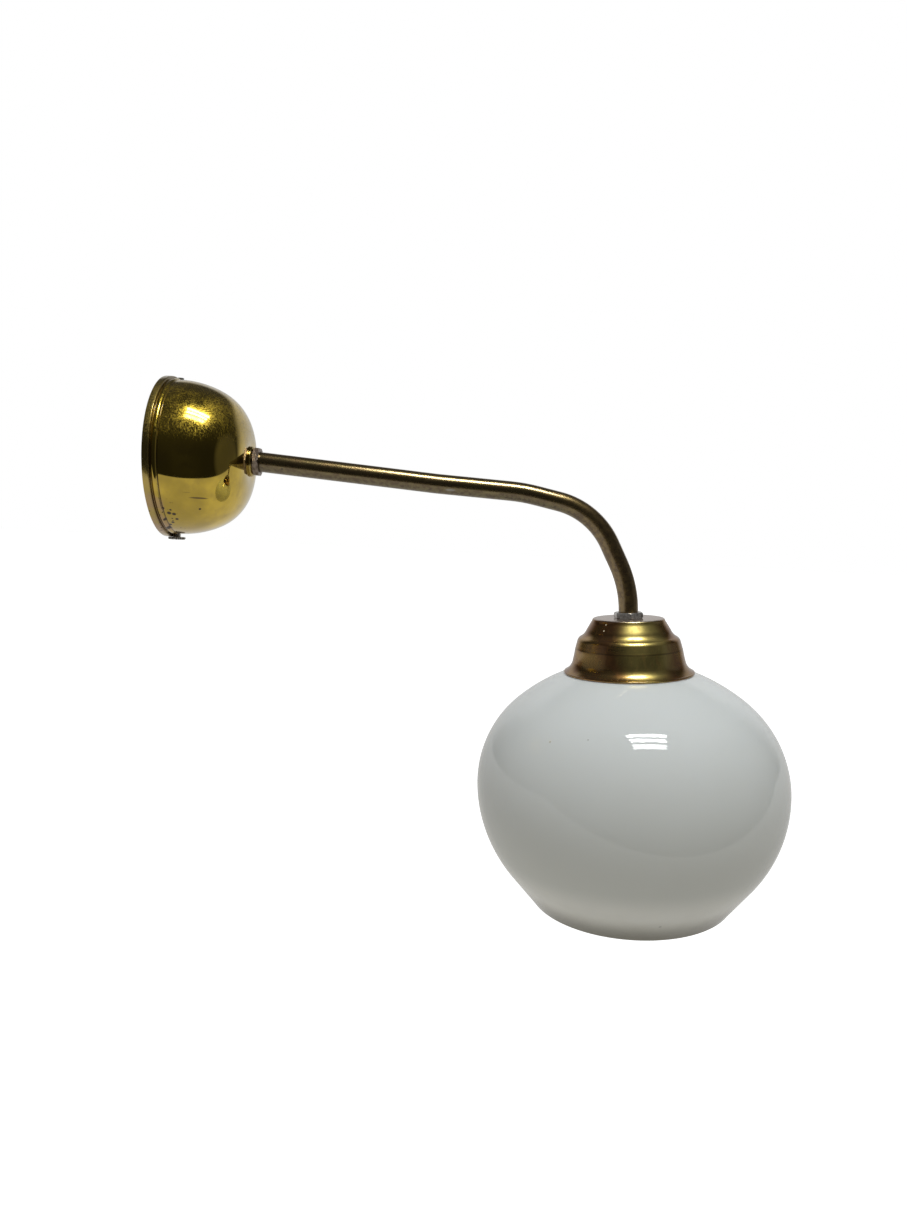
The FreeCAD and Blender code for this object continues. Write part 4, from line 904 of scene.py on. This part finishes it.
# Painted light: the inner skin is painted paler, as if lit through the glass.
ball_centre = (245.2, 0, -157.5)
from_centre = spot.node("VectorMath", {0: glass_finish.world_place, 1: ball_centre}, operation="SUBTRACT")
faces_out = from_centre.node("VectorMath", {0: glass_finish.facing(), 1: from_centre}, output="Value",
                             operation="DOT_PRODUCT")
inner_skin_painted_light = 1 - faces_out.rise(-2, 2)
opal = inner_skin_painted_light.between(opal, (0.90, 0.90, 0.86, 1))
opal = (seeds * 0.6).between(opal, (0.35, 0.35, 0.31, 1))
glass_finish.vary(Base_Color=opal, Roughness=grime * 0.12 + spot.noise(0.15, 3.0) * 0.02 + 0.015)
glass_finish.relief(spot.noise(0.03, 1.0, offset=(2, 8, 8)) + seeds * 0.4, 0.025)
dress(glass, glass_finish, "fixture", "glass_shade")


# Bulb
# A round opal bulb with a rolled screw cap, a black glass insulator and a solder tip. It turns
# on its thread, and the tip only travels with it.

bulb_seat = 31.2
globe_radius = 30
globe_middle = 75
globe_end = globe_middle + globe_radius
bulb_wall = 0.7
bulb_place = on_lamp @ Matrix.Translation((0, 0, bulb_seat / 1000))
neck_angle = math.radians(42)
neck_start = (14.4, 30)
neck_end = (globe_radius * math.cos(neck_angle), globe_middle - globe_radius * math.sin(neck_angle))
globe_side = (globe_radius, globe_middle)
bulb_outline = [(12.5, 18.8), (12.5, 23), (12.5, 27), (13.3, 28.4), neck_start]
bulb_outline += arc(neck_start, neck_end, 90, -1, 14)
bulb_outline += arc(neck_end, globe_side, globe_radius, 1, 14)
bulb_outline += arc(globe_side, (0, globe_end), globe_radius, 1, 26)[:-1] + [(0, globe_end)]
bulb_outline += [(0, globe_end - bulb_wall)]
bulb_outline += arc((0, globe_end - bulb_wall), (globe_radius - bulb_wall, globe_middle),
                    globe_radius - bulb_wall, -1, 20)
bulb_outline += [(21.8, 55.6), (13.7, 30.3), (11.8, 27.4), (11.8, 18.8)]
bulb = spun("bulb_envelope", bulb_outline, bulb_place, turns=128, crease=45)
bulb_finish = Finish("matt_opal_bulb", "bulb_opal", IOR=1.5, Subsurface_Weight=0.1, Subsurface_Scale=0.003)
spot = bulb_finish.place
dust = spot.noise(0.08, 3.0)
bulb_finish.vary(Base_Color=dust.between((0.86, 0.86, 0.84, 1), (0.80, 0.80, 0.77, 1)),
                 Roughness=dust * 0.1 + 0.12)
dress(bulb, bulb_finish, "bulb", "bulb_glass")

cap_thread = screw_thread(edison_pitch, 0.9, 7.6, 25.0)
cap_turn = Matrix.Rotation(2 * math.pi * bulb_seat / edison_pitch, 4, "Z")
tin_radius = 13.1
tin_bore = 12.7
tin_start, tin_end = 7.6, 25.4
tin_outline = [(10.6, 4.4), (12.9, 6.8), (tin_radius, 7.2)]
tin_outline += along((tin_radius, tin_start), (tin_radius, tin_end), thread_step)
tin_outline += [(tin_radius, 26), (tin_bore, 26)]
tin_outline += along((tin_bore, tin_end), (tin_bore, tin_start), thread_step)
tin_outline += [(12.6, 7.3), (10.6, 4.9)]
screw_cap = spun("bulb_screw_cap", tin_outline, bulb_place @ cap_turn, turns=96, shaped=cap_thread,
                 crease=50)
tin_finish = Finish("nickel_plated_cap", "cap_metal", Metallic=1.0)
spot = tin_finish.place
dull = spot.noise(0.5, 4.0)
tin_finish.vary(Base_Color=dull.between((0.72, 0.70, 0.66, 1), (0.52, 0.49, 0.44, 1)),
                Roughness=dull * 0.2 + 0.2)
dress(screw_cap, tin_finish, "bulb", "bulb_cap")

black_finish = Finish("black_glass_insulator", "black_glass", Coat_Weight=0.5)
spot = black_finish.place
black_finish.vary(Base_Color=spot.noise(0.6, 2.0).between((0.012, 0.012, 0.016, 1), (0.03, 0.03, 0.035, 1)),
                  Roughness=spot.noise(1.0, 2.0) * 0.1 + 0.1)
dress_node(black_finish, "bulb_insulator")
solder_finish = Finish("dull_solder", "solder", Metallic=1.0)
spot = solder_finish.place
solder_finish.vary(Base_Color=spot.noise(1.0, 3.0).between((0.62, 0.61, 0.59, 1), (0.42, 0.41, 0.40, 1)),
                   Roughness=spot.noise(2.0, 3.0) * 0.2 + 0.3)
solder_finish.relief(spot.noise(1.2, 2.0), 0.05)
dress_node(solder_finish, "bulb_tip")


# Floor and light
# A plain pale floor well below the lamp, a ceiling light with three strips above and in front
# of it, and soft light from all round, a little stronger from below and from the wall's side.
# Metal mirrors a dim room in front, with a bright table and a bright wall behind.

floor_level = -1.6
floor_reach = 50
strip_height = 0.85
floor_mesh = bpy.data.meshes.new("pale_floor")
floor_mesh.from_pydata(
    [(-floor_reach, -floor_reach, floor_level), (floor_reach, -floor_reach, floor_level),
     (floor_reach, floor_reach, floor_level), (-floor_reach, floor_reach, floor_level)],
    [], [(0, 1, 2, 3)])
floor = bpy.data.objects.new("pale_floor", floor_mesh)
bpy.context.scene.collection.objects.link(floor)
floor_material = bpy.data.materials.new("pale_floor")
floor_material.use_nodes = True
floor_shader = floor_material.node_tree.nodes["Principled BSDF"]
floor_shader.inputs["Base Color"].default_value = (0.9, 0.9, 0.9, 1)
floor_shader.inputs["Roughness"].default_value = 0.9
floor_shader.inputs["Emission Color"].default_value = (1, 1, 1, 1)
floor_shader.inputs["Emission Strength"].default_value = 0.9
floor_mesh.materials.append(floor_material)
floor.visible_glossy = False
floor.visible_diffuse = False

for strip, (across, forward, length, width, power) in enumerate((
        (0.290, -0.262, 0.404, 0.066, 1.90), (0.298, -0.360, 0.386, 0.068, 1.85),
        (0.307, -0.490, 0.390, 0.105, 1.80))):
    light = bpy.data.lights.new(f"ceiling_strip_{strip}", "AREA")
    light.shape = "RECTANGLE"
    light.size = length
    light.size_y = width
    light.energy = power
    light.color = (0.98, 1.0, 0.99)
    strip_light = bpy.data.objects.new(light.name, light)
    strip_light.location = (across, forward, strip_height)
    bpy.context.scene.collection.objects.link(strip_light)

room = bpy.data.worlds.new("dim_room")
bpy.context.scene.world = room
room.use_nodes = True
sky = Surface(room.node_tree)
way = sky.node("TexCoord", {}, output="Generated")
across, away, high = way.axis("X"), way.axis("Y"), way.axis("Z")
table_edge = across * 0.309 - away * 0.951 + high * 1.54
table = (1 - table_edge.rise(-0.03, 0.02)) * (1 - high.rise(-0.02, 0.03))
wall = away.rise(0.42, 0.76) * across.rise(-0.75, -0.30) * (1 - high.rise(0.50, 0.66))
sides = abs(across).rise(0.80, 0.93) * (1 - high.rise(0.40, 0.62))
mirrored = (table * 0.58).or_larger(wall * 0.62)
mirrored = mirrored.or_larger(sides * 0.10)
mirrored = mirrored.or_larger(high.rise(0.45, 0.85) * 0.03 + 0.024)
soft = 0.355 + (1 - high.rise(-0.95, -0.35)) * 0.24 - across * 0.045
rays = sky.node("LightPath", {}, output="Is Glossy Ray")
seen = sky.node("LightPath", {}, output="Is Camera Ray")
glow = rays * mirrored + (1 - rays) * soft
glow = seen + (1 - seen) * glow
background = room.node_tree.nodes["Background"]
room.node_tree.links.new(glow.socket, background.inputs["Strength"])
tint = (1 - seen) * (1 - high.rise(-0.8, 0.4))
room.node_tree.links.new(tint.between((1, 1, 1, 1), (1, 0.985, 0.93, 1)).socket, background.inputs["Color"])
